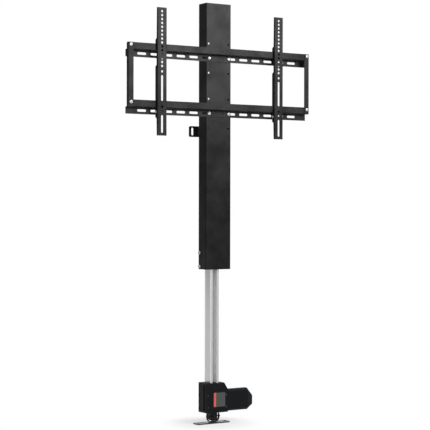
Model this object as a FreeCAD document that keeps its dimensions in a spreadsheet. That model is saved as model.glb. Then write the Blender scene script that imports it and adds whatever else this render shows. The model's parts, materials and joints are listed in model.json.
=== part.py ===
import FreeCAD, Part
import math
import os
import re
import Sketcher

# Electric lift for a flat screen, in millimetres.
# The origin is on the floor under the middle of the foot plate. +Z is up and the screen side faces -Y.
# The lift is drawn about halfway through its stroke.

TINY = 0.01

# Driving sizes: name, value, meaning.
SIZES = [
    ("foot_length", 132, "foot plate along X"),
    ("foot_depth", 36, "foot plate along Y"),
    ("foot_gauge", 4, "foot plate thickness"),
    ("foot_corner", 6, "corner radius of the foot plate"),
    ("foot_screw_spacing", 108, "between the two floor screws"),
    ("foot_screw_bore", 6.5, "floor screw hole"),
    ("countersink", 2.2, "depth of the floor screw countersinks"),
    ("yoke_inside", 44, "clear width between the ears of the yoke"),
    ("yoke_width", 8, "width of the yoke strap along Y"),
    ("yoke_gauge", 2.5, "thickness of the yoke strap"),
    ("yoke_ear", 30, "height of the yoke ears above the foot plate"),
    ("yoke_bend", 14, "inner bend radius of the yoke, as far as the rivet heads leave room"),
    ("rivet_spacing", 9, "between the two yoke rivets, along X"),
    ("rivet_shank", 3, "rivet diameter"),
    ("rivet_head", 1.8, "height of the rivet heads"),
    ("pin_rise", 24, "clevis pin axis above the floor"),
    ("pin_width", 4, "clevis pin diameter"),
    ("pin_head", 3.6, "radius of the clevis pin's head"),
    ("pin_head_height", 2, "height of the clevis pin's head"),
    ("pin_end", 4, "clevis pin beyond the yoke"),
    ("clip_gauge", 1.2, "thickness of the pin clip"),
    ("clip_width", 2.2, "width of the pin clip's ring"),
    ("running_gap", 0.05, "radial gap of a turning fit"),
    ("seat_gap", 0.3, "gap between sliding faces"),
    ("wall_gap", 1, "room around parts that turn inside a housing"),
    ("clevis_x", 5, "clevis right of the mast axis, under the middle of the gearbox"),
    ("lug_width", 20, "clevis lug along X"),
    ("lug_depth", 20, "clevis lug along Y"),
    ("lug_foot", 10, "lower end of the clevis lug along Y"),
    ("lug_shoulder", 5, "where the clevis lug begins to taper, below the pin"),
    ("lug_gap", 3, "clevis lug above the yoke"),
    ("gearbox_base", 39, "underside of the gearbox above the floor"),
    ("gearbox_height", 102.5, "gearbox height"),
    ("gearbox_left", 38, "gearbox left face from the mast axis"),
    ("gearbox_right", 49, "gearbox face that carries the motor"),
    ("gearbox_top_right", 34, "right end of the gearbox top face"),
    ("gearbox_shoulder", 117, "upper end of the gearbox face that carries the motor"),
    ("gearbox_front", 28.5, "gearbox front face from the mast axis"),
    ("gearbox_rear", 39, "gearbox rear face from the mast axis"),
    ("gearbox_round", 2, "rounding of the gearbox front edges"),
    ("gearbox_bevel", 14, "bevel of the gearbox rear edges"),
    ("panel_left", -22, "left edge of the sunk panel on the gearbox front"),
    ("panel_top", 117, "upper edge of that panel"),
    ("panel_base", 46, "lower edge of that panel"),
    ("panel_depth", 1.6, "depth of that panel"),
    ("flank_front", 3, "recess in the gearbox flank from the front face"),
    ("flank_width", 17, "recess in the gearbox flank along Y"),
    ("flank_depth", 2.4, "depth of that recess"),
    ("flank_margin", 7, "recess from the gearbox top and underside"),
    ("pocket_pitch", 23, "between the pockets along the gearbox's rear edge"),
    ("pocket_height", 9, "pocket along Z"),
    ("pocket_width", 6, "pocket along Y"),
    ("pocket_depth", 4, "pocket along X"),
    ("pocket_edge", 1.5, "pocket in front of the rear bevel"),
    ("pocket_first", 10, "lowest pocket above the underside"),
    ("pocket_count", 4, "pockets"),
    ("case_screw_x", 29.5, "case screws left of the mast axis"),
    ("case_screw_right", 43.8, "case screws right of the mast axis"),
    ("case_screw_high", 98.5, "upper case screws"),
    ("case_screw_low", 57.5, "lower case screws"),
    ("case_screw_sink", 3, "depth of the case screw recesses"),
    ("case_screw_grip", 10, "case screws in the rear half"),
    ("motor_rise", 78, "motor axis above the floor"),
    ("worm_offset", 18, "motor axis behind the spindle axis"),
    ("worm_radius", 4.9, "worm"),
    ("worm_length", 24, "worm along X"),
    ("worm_shaft_radius", 2.5, "motor shaft"),
    ("motor_radius", 15.5, "motor can"),
    ("motor_length", 76, "motor can along X"),
    ("boss_height", 4, "rear boss of the motor can"),
    ("cover_length", 106, "motor cover along X"),
    ("cover_height", 75, "motor cover along Z"),
    ("cover_depth", 66, "motor cover along Y"),
    ("cover_base", 41.5, "underside of the motor cover above the floor"),
    ("cover_bevel", 7, "front bevels of the eight-sided motor cover"),
    ("cover_rear_bevel", 24, "lower rear bevel of the motor cover"),
    ("cover_slope_depth", 45, "run of the upper rear slope of the motor cover, along Y"),
    ("cover_slope_height", 30, "fall of that slope over its run, along Z"),
    ("slope_room", 7, "that slope above the motor can, over the motor axis"),
    ("cover_nose", 23, "tapered end of the motor cover"),
    ("nose_front", 8, "how far that end tapers in at the front"),
    ("nose_rear", 16, "taper at the rear"),
    ("nose_top", 12.5, "top of the small end above the motor axis"),
    ("nose_base", 21.5, "underside of the small end below the motor axis"),
    ("nose_bevel", 3, "front bevels of the small end"),
    ("nose_rear_bevel", 8, "lower rear bevel of the small end"),
    ("nose_slope_depth", 26, "upper rear slope of the small end along Y"),
    ("nose_slope_height", 14, "upper rear slope of the small end along Z"),
    ("cover_wall", 2.5, "wall of the motor cover"),
    ("tab_length", 12, "tab that the motor cover is screwed to"),
    ("tab_width", 11, "width of that tab"),
    ("tab_gauge", 4, "thickness of that tab"),
    ("inlet_radius", 7, "flange of the power inlet"),
    ("inlet_lip", 2, "flange of the power inlet along Z"),
    ("inlet_bore", 4, "socket of the power inlet"),
    ("inlet_depth", 9, "power inlet inside the cover"),
    ("inlet_x", 78, "power inlet from the mast axis"),
    ("rail_width", 34, "guide rail along X"),
    ("rail_depth", 40, "guide rail along Y"),
    ("rail_wall", 3, "guide rail wall"),
    ("rail_slot", 16, "slot in the front of the guide rail"),
    ("rail_length", 888.5, "guide rail along Z"),
    ("rail_round", 2, "corner rounding of the guide rail"),
    ("groove_width", 6, "side grooves of the guide rail"),
    ("groove_depth", 1.2, "depth of the side grooves"),
    ("groove_back", 3, "side grooves from the rail's rear face"),
    ("spindle_radius", 5, "lifting spindle"),
    ("collar_radius", 8, "spindle collar"),
    ("collar_height", 5, "spindle collar along Z"),
    ("spindle_bevel", 1, "bevelled spindle ends"),
    ("spindle_tail", 2, "spindle below its lower bearing"),
    ("wheel_radius", 12.8, "worm wheel"),
    ("wheel_width", 12, "worm wheel along Z"),
    ("wheel_hub", 2, "hub of the worm wheel beyond its rim"),
    ("wheel_throat", 0.9, "throat of the worm wheel's rim"),
    ("bearing_radius", 13, "upper spindle bearing"),
    ("bearing_height", 14, "upper spindle bearing along Z"),
    ("bearing_cover", 5, "gearbox wall over the upper bearing"),
    ("step_radius", 11, "lower spindle bearing"),
    ("step_height", 10, "lower spindle bearing along Z"),
    ("step_floor", 11, "gearbox floor under the lower bearing"),
    ("bush_radius", 8, "spindle bush at the top"),
    ("bush_height", 18, "spindle bush along Z"),
    ("bush_drop", 2, "bush above the lower end of the plug"),
    ("guide_height", 16, "top guide above the rail"),
    ("guide_plug", 20, "plug of the top guide inside the rail"),
    ("guide_nose", 56, "front bearing face of the top guide"),
    ("guide_step", 10, "relief beside the front bearing face"),
    ("guide_rim", 6, "rim around the windows of the top guide"),
    ("plug_gap", 0.1, "top guide's plug in the rail"),
    ("bracket_width", 138, "wall bracket along X"),
    ("bracket_height", 37.5, "wall bracket along Z"),
    ("bracket_gauge", 2.5, "wall bracket thickness"),
    ("bracket_drop", 2, "wall bracket below the top of the rail"),
    ("bracket_pad", 44, "part of the wall bracket on the rail"),
    ("bracket_reach", 19, "set-back of the wall bracket ears"),
    ("bracket_slope", 13, "sloping leg of the wall bracket along X"),
    ("ear_slot_width", 9, "wall bracket slots"),
    ("ear_slot_length", 27, "wall bracket slots along Z"),
    ("ear_slot_spacing", 112, "between the wall bracket slots"),
    ("bracket_screw_spacing", 18, "between the bracket screws"),
    ("bracket_round", 5, "corner radius of the wall bracket ears"),
    ("column_width", 100, "column along X"),
    ("column_depth", 50, "column along Y"),
    ("column_gauge", 2, "column sheet"),
    ("column_lip", 12, "lips at the open back of the column"),
    ("column_length", 909.5, "column along Z"),
    ("column_rise", 534, "lower end of the column above the floor"),
    ("column_front", -42, "front face of the column"),
    ("column_bend", 3, "outer bend radius of the column"),
    ("cap_gauge", 2, "column cap"),
    ("cap_screw_spacing", 26, "between the cap screws"),
    ("cap_screw_y", -10, "cap screws"),
    ("buffer_width", 68, "buffer under the cap along X"),
    ("buffer_depth", 24, "buffer under the cap along Y"),
    ("buffer_height", 12, "buffer under the cap along Z"),
    ("buffer_round", 4, "corner radius of the buffer"),
    ("buffer_floor", 3, "buffer left under the cap screws"),
    ("carriage_gauge", 3, "carriage bracket sheet"),
    ("carriage_height", 68, "carriage bracket along Z"),
    ("carriage_lift", 2, "carriage bracket above the column's lower end"),
    ("carriage_bend", 1, "inner bend radius of the carriage bracket"),
    ("carriage_rear_gap", 1.2, "carriage flanges in front of the column lips"),
    ("carriage_bolt_low", 9.7, "lower carriage bolts above the column's lower end"),
    ("carriage_bolt_pitch", 47, "between the carriage bolts"),
    ("carriage_bolt_inset", 9, "carriage bolts in front of the column's back"),
    ("slider_height", 52, "slider block along Z"),
    ("slider_lift", 11, "slider block above the column's lower end"),
    ("slider_neck", 2.5, "slider neck in front of the rail"),
    ("slider_screw_inset", 12, "slider screws from the ends of the slider"),
    ("slider_screw_grip", 7, "slider screws inside the slider"),
    ("nut_radius", 11, "spindle nut barrel"),
    ("nut_barrel", 30, "spindle nut barrel along Z"),
    ("nut_flange", 13, "spindle nut flange radius"),
    ("nut_flange_height", 4, "spindle nut flange along Z"),
    ("frame_width", 725, "screen frame along X, over the end bars"),
    ("frame_gauge", 2, "screen frame sheet"),
    ("frame_bend", 3, "outer bend radius of the screen rails"),
    ("rail_reach", 22, "front strip of a screen rail in front of the column"),
    ("strip_front", 24, "front strip of a screen rail along Z"),
    ("strip_back", 24, "back strip of a screen rail along Z"),
    ("upper_top", 1291, "top edge of the upper screen rail"),
    ("rails_apart", 189, "from the upper to the lower screen rail"),
    ("slot_pitch", 50, "between the slots of a screen rail"),
    ("slot_length", 34, "slots of a screen rail along X"),
    ("slot_width", 8, "slots of a screen rail along Z"),
    ("slot_rise", 12, "slot axis above the lower edge of a back strip"),
    ("slot_count", 13, "slots in a screen rail"),
    ("column_hole_x", 39, "rows of holes in the column front"),
    ("column_hole_pitch", 50, "between the holes of a row"),
    ("column_hole_count", 3, "holes in a row"),
    ("column_hole_radius", 3.4, "holes in the column"),
    ("bar_width", 20, "front of an end bar"),
    ("bar_flange", 11, "side flange of an end bar"),
    ("bar_screw_drop", 8, "end bar screws below the top of a screen rail"),
    ("bar_screw_inset", 10, "end bar screws from the outer end"),
    ("bar_round", 6, "corner radius of an end bar"),
    ("arm_width", 35, "screen arm along X"),
    ("arm_length", 426, "screen arm along Z"),
    ("arm_top", 1411.5, "top of the screen arms"),
    ("arm_gauge", 2, "screen arm sheet"),
    ("arm_stand_off", 8, "front of an arm in front of the screen rails"),
    ("arm_flange", 16, "full depth of an arm flange"),
    ("arm_tip", 6, "depth of an arm flange at its ends"),
    ("left_arm_x", -238, "left arm"),
    ("right_arm_x", 229, "right arm"),
    ("arm_hole", 8, "holes and slots of an arm"),
    ("arm_first_hole", 12.5, "first hole from the top of an arm"),
    ("arm_hole_pitch", 13, "between the holes of an arm"),
    ("arm_hole_count", 15, "holes in the row"),
    ("screen_pitch", 200, "screen hole pattern along Z"),
    ("upper_slot_top", 225, "upper long slot from the top of an arm"),
    ("upper_slot_length", 86, "upper long slot"),
    ("pair_hole", 330, "first of two single holes from the top of an arm"),
    ("pair_pitch", 16, "between the two single holes"),
    ("lower_slot_top", 358, "lower long slot from the top of an arm"),
    ("lower_slot_length", 59, "lower long slot"),
    ("hook_gap", 1.2, "hooks above and below the web of a screen rail"),
    ("hook_shoulder", 13, "upper hook above its rail"),
    ("hook_slope", 6, "sloping ends of the deep flange along Z"),
    ("waist_drop", 46, "shallow part of an arm below the upper rail's web"),
    ("lock_lug", 30, "deep flange under the lower rail"),
    ("lock_drop", 14, "lock bolt under the lower rail"),
    ("lock_inset", 5, "lock bolt from the rear edge of an arm"),
    ("lock_radius", 2.5, "lock bolt"),
    ("lock_head", 4.6, "lock bolt head radius"),
    ("lock_head_height", 3.4, "lock bolt head"),
    ("lock_nut_flats", 8, "lock nut across the flats"),
    ("lock_nut_height", 4, "lock nut"),
    ("small_screw", 2, "shank radius of the small screws"),
    ("small_head", 3.4, "head radius of the small screws"),
    ("small_head_height", 2, "head height of the small screws"),
    ("head_gap", 0.4, "room around a sunk screw head"),
    ("thread_end", 1, "bolt end beyond its nut"),
    ("screw_grip", 4, "small screws inside plastic"),
    ("bolt_radius", 3, "shank radius of the frame bolts"),
    ("bolt_head", 6, "head radius of the frame bolts"),
    ("bolt_head_height", 3.6, "head height of the frame bolts"),
    ("nut_flats", 10, "frame nuts across the flats"),
    ("nut_height", 5, "frame nuts"),
]

# Places worked out from the sizes.
PLACES = [
    ("pin_radius", "pin_width / 2"),
    ("yoke_half", "yoke_inside / 2"),
    ("yoke_outer", "yoke_half + yoke_gauge"),
    ("rivet_rim", "rivet_shank * 0.85"),
    ("bend_limit", "yoke_half - rivet_spacing / 2 - rivet_rim"),
    ("bend_radius", "yoke_bend < bend_limit ? yoke_bend : bend_limit"),
    ("yoke_top", "foot_gauge + yoke_ear"),
    ("gearbox_top", "gearbox_base + gearbox_height"),
    ("yoke_floor", "foot_gauge + yoke_gauge"),
    ("lug_base", "yoke_floor + lug_gap"),
    ("pin_shoulder", "yoke_outer + seat_gap"),
    ("cover_middle", "gearbox_rear - cover_depth / 2"),
    ("cover_top", "cover_base + cover_height"),
    ("cover_front", "gearbox_rear - cover_depth"),
    ("slope_over", "motor_rise + motor_radius + slope_room"),
    ("slope_ratio", "cover_slope_depth / cover_slope_height"),
    ("slope_run", "gearbox_rear - worm_offset + (cover_top - slope_over) * slope_ratio"),
    ("slope_fall", "slope_run / slope_ratio"),
    ("cover_end", "gearbox_right + cover_length"),
    ("tab_y", "cover_front + cover_bevel + wall_gap + tab_width / 2"),
    ("tab_screw_x", "gearbox_right + tab_length / 2"),
    ("rail_half", "rail_width / 2"),
    ("rail_back", "rail_depth / 2"),
    ("rail_top", "gearbox_top + rail_length"),
    ("bearing_top", "gearbox_top - bearing_cover"),
    ("bearing_base", "bearing_top - bearing_height"),
    ("step_base", "gearbox_base + step_floor"),
    ("step_top", "step_base + step_height"),
    ("wheel_base", "motor_rise - wheel_width / 2"),
    ("bush_base", "rail_top - guide_plug + bush_drop"),
    ("plug_middle", "rail_top - guide_plug / 2"),
    ("bush_top", "bush_base + bush_height"),
    ("guide_top", "rail_top + guide_height"),
    ("bracket_top", "rail_top - bracket_drop"),
    ("bracket_middle", "bracket_top - bracket_height / 2"),
    ("bracket_ear", "rail_back + bracket_reach"),
    ("column_half", "column_width / 2"),
    ("column_back", "column_front + column_depth"),
    ("column_top", "column_rise + column_length"),
    ("inner_half", "column_half - column_gauge"),
    ("inner_front", "column_front + column_gauge"),
    ("inner_back", "column_back - column_gauge"),
    ("slider_front", "-rail_back - slider_neck"),
    ("slider_base", "column_rise + slider_lift"),
    ("slider_top", "slider_base + slider_height"),
    ("carriage_front", "slider_front - carriage_gauge"),
    ("carriage_rear", "inner_back - carriage_rear_gap"),
    ("carriage_bolt_y", "column_back - carriage_bolt_inset"),
    ("carriage_base", "column_rise + carriage_lift"),
    ("bolt_low", "column_rise + carriage_bolt_low"),
    ("bolt_high", "bolt_low + carriage_bolt_pitch"),
    ("strip_face", "column_front - rail_reach"),
    ("back_face", "column_front - frame_gauge"),
    ("lower_top", "upper_top - rails_apart"),
    ("upper_web", "upper_top - strip_front"),
    ("lower_web", "lower_top - strip_front"),
    ("rail_height", "strip_front + strip_back - frame_gauge"),
    ("upper_slots", "upper_top - rail_height + slot_rise"),
    ("lower_slots", "lower_top - rail_height + slot_rise"),
    ("frame_half", "frame_width / 2"),
    ("strip_half", "frame_half - frame_gauge"),
    ("bar_screw_x", "frame_half - bar_screw_inset"),
    ("bar_face", "strip_face - frame_gauge"),
    ("arm_face", "strip_face - arm_stand_off"),
    ("arm_inner", "arm_face + arm_gauge"),
    ("arm_back", "arm_face + arm_flange"),
    ("arm_base", "arm_top - arm_length"),
    ("hook_front", "strip_face - seat_gap"),
    ("hook_back", "strip_face + frame_gauge + seat_gap"),
    ("lock_y", "arm_back - lock_inset"),
    ("lock_rise", "lower_web - lock_drop"),
    ("small_hole", "small_screw + running_gap"),
    ("bolt_hole", "bolt_radius + running_gap"),
]

doc = FreeCAD.newDocument("screen_lift")
sheet_of = {}
nodes = {}


def full(expression):
    """Puts the sheet's name in front of every size that an expression names."""
    return re.sub(r"[a-z]\w*", lambda word: sheet_of[word.group()] + "." + word.group(), expression)


def number(expression):
    return float(doc.getObject("sizes").evalExpression(full(expression)))


def bind(thing, prop, expression):
    thing.setExpression(prop, full(expression))


def fill_sheets():
    sizes = doc.addObject("Spreadsheet::Sheet", "sizes")
    for row, (name, value, meaning) in enumerate(SIZES, start=1):
        sizes.set("A%d" % row, meaning)
        sizes.set("B%d" % row, str(value))
        sizes.setAlias("B%d" % row, name)
        sheet_of[name] = "sizes"
    places = doc.addObject("Spreadsheet::Sheet", "places")
    doc.recompute()
    for row, (name, formula) in enumerate(PLACES, start=1):
        sheet_of[name] = "places"
        places.set("A%d" % row, name)
        places.set("B%d" % row, "=" + full(formula).replace("places.", ""))
        places.setAlias("B%d" % row, name)
    doc.recompute()


# Sketch elements: every point is held by two expressions.
def fix_point(sketch, shape, point, x, y):
    for kind, expression in (("DistanceX", x), ("DistanceY", y)):
        row = sketch.addConstraint(Sketcher.Constraint(kind, -1, 1, shape, point, number(expression)))
        bind(sketch, "Constraints[%d]" % row, expression)


def polygon(sketch, *points):
    first = sketch.GeometryCount
    corners = [FreeCAD.Vector(number(x), number(y), 0) for x, y in points]
    count = len(points)
    for i in range(count):
        sketch.addGeometry(Part.LineSegment(corners[i], corners[(i + 1) % count]), False)
    for i, (x, y) in enumerate(points):
        sketch.addConstraint(Sketcher.Constraint("Coincident", first + i, 2, first + (i + 1) % count, 1))
        fix_point(sketch, first + i, 1, x, y)


def rectangle(sketch, x0, y0, x1, y1):
    polygon(sketch, (x0, y0), (x1, y0), (x1, y1), (x0, y1))


def circle(sketch, x, y, radius):
    centre = FreeCAD.Vector(number(x), number(y), 0)
    shape = sketch.addGeometry(Part.Circle(centre, FreeCAD.Vector(0, 0, 1), number(radius)), False)
    row = sketch.addConstraint(Sketcher.Constraint("Radius", shape, number(radius)))
    bind(sketch, "Constraints[%d]" % row, radius)
    fix_point(sketch, shape, 3, x, y)


def slot(sketch, x, y, length, width, upright=False):
    """Round-ended slot centred on a point, lying along the sketch's X, or its Y where upright."""
    reach = "((%s) - (%s)) / 2" % (length, width)
    turn = 90 if upright else 0
    ends = []
    for sign, start in (("+", -90), ("-", 90)):
        shift = " %s %s" % (sign, reach)
        ends.append((x, y + shift, start + turn) if upright else (x + shift, y, start + turn))
    arcs, lines = [], []
    half = number("(%s) / 2" % width)
    for end_x, end_y, start in ends:
        base = Part.Circle(FreeCAD.Vector(number(end_x), number(end_y), 0), FreeCAD.Vector(0, 0, 1), half)
        arc = Part.ArcOfCircle(base, math.radians(start), math.radians(start + 180))
        arcs.append((sketch.addGeometry(arc, False), arc))
    for one, other in ((0, 1), (1, 0)):
        line = Part.LineSegment(arcs[one][1].EndPoint, arcs[other][1].StartPoint)
        lines.append(sketch.addGeometry(line, False))
    for i in (0, 1):
        sketch.addConstraint(Sketcher.Constraint("Tangent", arcs[i][0], 2, lines[i], 1))
        sketch.addConstraint(Sketcher.Constraint("Tangent", lines[i], 2, arcs[1 - i][0], 1))
    sketch.addConstraint(Sketcher.Constraint("Equal", arcs[0][0], arcs[1][0]))
    row = sketch.addConstraint(Sketcher.Constraint("Radius", arcs[0][0], half))
    bind(sketch, "Constraints[%d]" % row, "(%s) / 2" % width)
    for (shape, _), (end_x, end_y, _) in zip(arcs, ends):
        fix_point(sketch, shape, 3, end_x, end_y)


# Features
def new_body(name):
    body = doc.addObject("PartDesign::Body", name)
    body.Label = name
    nodes[name] = body
    return body


def master(name):
    """A body that is only copied, and isn't a piece by itself."""
    body = new_body(name)
    del nodes[name]
    return body


def draw(body, name, plane, start, drawings):
    """Sketch on a plane of the body, moved along the plane's axis to a world coordinate."""
    sketch = body.newObject("Sketcher::SketchObject", name)
    role = plane + "_Plane"
    support = [item for item in body.Origin.OriginFeatures if item.Role == role][0]
    sketch.AttachmentSupport = (support, [""])
    sketch.MapMode = "FlatFace"
    sign = "-1" if plane == "XZ" else "1"
    bind(sketch, "AttachmentOffset.Base.z", "%s * (%s)" % (sign, start))
    for element, *values in drawings:
        element(sketch, *values)
    doc.recompute()
    return sketch


def extrude(body, name, plane, start, length, *drawings):
    """Adds material from a coordinate: towards +Z on XY, +X on YZ, and -Y on XZ."""
    pad = body.newObject("PartDesign::Pad", body.Name + "_" + name)
    pad.Profile = draw(body, body.Name + "_" + name + "_outline", plane, start, drawings)
    bind(pad, "Length", length)
    doc.recompute()
    return pad


def cut(body, name, plane, start, length, *drawings):
    """Removes material from a coordinate: towards -Z on XY, -X on YZ, and +Y on XZ."""
    before = body.Shape.Volume
    pocket = body.newObject("PartDesign::Pocket", body.Name + "_" + name)
    pocket.Profile = draw(body, body.Name + "_" + name + "_outline", plane, start, drawings)
    bind(pocket, "Length", length)
    doc.recompute()
    if body.Shape.Volume > before - TINY:
        raise RuntimeError("%s: cut %s removes nothing" % (body.Label, name))
    return pocket


def repeat(body, feature, axis, length, count, backwards=False):
    """Row of copies of a cut along the H or V axis of its sketch."""
    row = body.newObject("PartDesign::LinearPattern", feature.Name + "_row")
    row.Originals = [feature]
    row.Direction = (feature.Profile[0], [axis + "_Axis"])
    row.Reversed = backwards
    bind(row, "Length", length)
    bind(row, "Occurrences", count)
    body.Tip = row
    doc.recompute()


ACROSS = {"X": (1, 2), "Y": (0, 2), "Z": (0, 1)}


def lines(direction, *corners):
    """Picks the straight edges along one axis at the given places across it."""
    across = ACROSS[direction]
    spots = [[number(value) for value in corner] for corner in corners]

    def wanted(edge):
        ends = [vertex.Point for vertex in edge.Vertexes]
        if len(ends) != 2 or not isinstance(edge.Curve, Part.Line):
            return False
        if any(abs(ends[0][k] - ends[1][k]) > TINY for k in across):
            return False
        return any(all(abs(ends[0][k] - value) < TINY for k, value in zip(across, spot)) for spot in spots)
    return wanted


def rims(height, radius):
    """Picks the rims of the holes of one size at a height."""
    level, size = number(height), number(radius)

    def wanted(edge):
        if not isinstance(edge.Curve, Part.Circle):
            return False
        return abs(edge.Curve.Radius - size) < TINY and abs(edge.Curve.Center.z - level) < TINY
    return wanted


def dress(body, kind, prop, size, wanted):
    base = body.Tip
    edges = ["Edge%d" % i for i, edge in enumerate(base.Shape.Edges, start=1) if wanted(edge)]
    if not edges:
        raise RuntimeError("%s: no edge to %s" % (body.Label, kind))
    feature = body.newObject("PartDesign::" + kind, "%s_%s_%d" % (body.Name, kind, len(body.Group)))
    feature.Base = (base, edges)
    bind(feature, prop, size)
    doc.recompute()


def round_edges(body, radius, wanted):
    dress(body, "Fillet", "Radius", radius, wanted)


def bevel_edges(body, size, wanted):
    dress(body, "Chamfer", "Size", size, wanted)


FACING = {
    "+Z": FreeCAD.Rotation(),
    "-Z": FreeCAD.Rotation(FreeCAD.Vector(1, 0, 0), 180),
    "-Y": FreeCAD.Rotation(FreeCAD.Vector(1, 0, 0), 90),
    "+Y": FreeCAD.Rotation(FreeCAD.Vector(1, 0, 0), -90),
    "+X": FreeCAD.Rotation(FreeCAD.Vector(0, 1, 0), 90),
    "-X": FreeCAD.Rotation(FreeCAD.Vector(0, 1, 0), -90),
}


def place(thing, facing, x, y, z):
    thing.Placement = FreeCAD.Placement(FreeCAD.Vector(), FACING[facing])
    for axis, expression in zip("xyz", (x, y, z)):
        bind(thing, "Placement.Base." + axis, expression)


def turn(body, *points):
    """Turned form about the body's own Z axis, from pairs of radius and height."""
    revolution = body.newObject("PartDesign::Revolution", body.Name + "_turning")
    sketch = draw(body, body.Name + "_profile", "XZ", "0", [(polygon,) + points])
    revolution.Profile = sketch
    revolution.ReferenceAxis = (sketch, ["V_Axis"])
    revolution.Angle = 360
    doc.recompute()
    return body


def ring(name, inner, outer, base, height):
    body = new_body(name)
    top = "%s + %s" % (base, height)
    return turn(body, (inner, base), (outer, base), (outer, top), (inner, top))


def pan_screw(body, shank, length, head, height):
    """Screw with the underside of its head at the origin, shank down, head up with a bevelled crown."""
    crown = "(%s) * 0.62" % head
    return turn(body, ("0", "-(%s)" % length), (shank, "-(%s)" % length), (shank, "0"), (head, "0"),
                (head, "(%s) * 0.45" % height), (crown, height), ("0", height))


def copies(name, original, spots):
    """One node made of equal separate solids, each at a facing and a place."""
    links = []
    for i, (facing, x, y, z) in enumerate(spots, start=1):
        link = doc.addObject("App::Link", "%s_%d" % (name, i))
        link.LinkedObject = original
        place(link, facing, x, y, z)
        links.append(link)
    group = doc.addObject("Part::Compound", name)
    group.Links = links
    group.Label = name
    nodes[name] = group


def both(x):
    return (x, "-(%s)" % x)


# Foot
def make_foot():
    half_x, half_y = "foot_length / 2", "foot_depth / 2"
    plate = new_body("foot_plate")
    extrude(plate, "blank", "XY", "0", "foot_gauge",
            (rectangle, "-" + half_x, "-" + half_y, half_x, half_y))
    round_edges(plate, "foot_corner", lines("Z", *[(x, y) for x in both(half_x) for y in both(half_y)]))
    cut(plate, "floor_holes", "XY", "foot_gauge", "foot_gauge",
        *[(circle, x, "0", "foot_screw_bore / 2") for x in both("foot_screw_spacing / 2")])
    bevel_edges(plate, "countersink", rims("foot_gauge", "foot_screw_bore / 2"))
    rivets = ["clevis_x + rivet_spacing / 2", "clevis_x - rivet_spacing / 2"]
    cut(plate, "rivet_holes", "XY", "foot_gauge", "foot_gauge",
        *[(circle, x, "0", "rivet_shank / 2 + running_gap") for x in rivets])

    yoke = new_body("foot_yoke")
    outer = ["clevis_x - yoke_outer", "clevis_x + yoke_outer"]
    inner = ["clevis_x - yoke_half", "clevis_x + yoke_half"]
    extrude(yoke, "strap", "XZ", "yoke_width / 2", "yoke_width",
            (polygon, (outer[0], "yoke_top"), (outer[0], "foot_gauge"), (outer[1], "foot_gauge"),
             (outer[1], "yoke_top"), (inner[1], "yoke_top"), (inner[1], "yoke_floor"),
             (inner[0], "yoke_floor"), (inner[0], "yoke_top")))
    round_edges(yoke, "bend_radius", lines("Y", *[(x, "yoke_floor") for x in inner]))
    round_edges(yoke, "bend_radius + yoke_gauge", lines("Y", *[(x, "foot_gauge") for x in outer]))
    round_edges(yoke, "yoke_width / 2 - seat_gap",
                lines("X", *[(y, "yoke_top") for y in both("yoke_width / 2")]))
    cut(yoke, "pin_holes", "YZ", outer[1], "2 * yoke_outer",
        (circle, "0", "pin_rise", "pin_radius + running_gap"))
    cut(yoke, "rivet_holes", "XY", "yoke_floor", "yoke_gauge",
        *[(circle, x, "0", "rivet_shank / 2 + running_gap") for x in rivets])

    rivet = pan_screw(master("rivet"), "rivet_shank / 2", "yoke_floor", "rivet_rim", "rivet_head")
    copies("yoke_rivets", rivet, [("+Z", x, "0", "yoke_floor") for x in rivets])


# Drive
def make_clevis():
    lug = new_body("clevis_lug")
    side, foot, shoulder = "lug_depth / 2", "lug_foot / 2", "pin_rise - lug_shoulder"
    extrude(lug, "block", "YZ", "clevis_x - lug_width / 2", "lug_width",
            (polygon, ("-" + side, "gearbox_base"), ("-" + side, shoulder), ("-" + foot, "lug_base"),
             (foot, "lug_base"), (side, shoulder), (side, "gearbox_base")))
    cut(lug, "pin_hole", "YZ", "clevis_x + lug_width / 2", "lug_width",
        (circle, "0", "pin_rise", "pin_radius + running_gap"))

    pin = pan_screw(new_body("clevis_pin"), "pin_radius", "pin_shoulder + yoke_outer + pin_end", "pin_head",
                    "pin_head_height")
    place(pin, "-X", "clevis_x - pin_shoulder", "0", "pin_rise")

    clip = new_body("pin_clip")
    extrude(clip, "ring", "YZ", "clevis_x + pin_shoulder", "clip_gauge",
            (circle, "0", "pin_rise", "pin_radius + clip_width"),
            (circle, "0", "pin_rise", "pin_radius + running_gap"))
    mouth = "pin_radius * 0.7"
    cut(clip, "mouth", "YZ", "clevis_x + pin_shoulder + clip_gauge", "clip_gauge",
        (rectangle, "-" + mouth, "pin_rise - 3 * pin_radius", mouth, "pin_rise - pin_radius / 2"))


def gearbox_outline():
    left, right = "-gearbox_left", "gearbox_right"
    return (polygon, (left, "gearbox_base"), (right, "gearbox_base"), (right, "gearbox_shoulder"),
            ("gearbox_top_right", "gearbox_top"), (left, "gearbox_top"))


def hollow_for_spindle(half):
    """Room in a gearbox half for the spindle, its bearings and the worm wheel."""
    cut(half, "spindle_hole", "XY", "gearbox_top", "gearbox_top - step_top",
        (circle, "0", "0", "collar_radius + wall_gap"))
    cut(half, "upper_seat", "XY", "bearing_top", "bearing_height",
        (circle, "0", "0", "bearing_radius + running_gap"))
    cut(half, "wheel_room", "XY", "wheel_base + wheel_width + 2 * wall_gap", "wheel_width + 4 * wall_gap",
        (circle, "0", "0", "wheel_radius + wall_gap"))
    cut(half, "lower_seat", "XY", "step_top", "step_height", (circle, "0", "0", "step_radius + running_gap"))
    cut(half, "spindle_end", "XY", "step_base", "spindle_tail + wall_gap",
        (circle, "0", "0", "spindle_radius + wall_gap"))


CASE_SCREWS = [("-case_screw_x", "case_screw_high"), ("-case_screw_x", "case_screw_low"),
               ("case_screw_right", "case_screw_high"), ("case_screw_right", "case_screw_low")]


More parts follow.
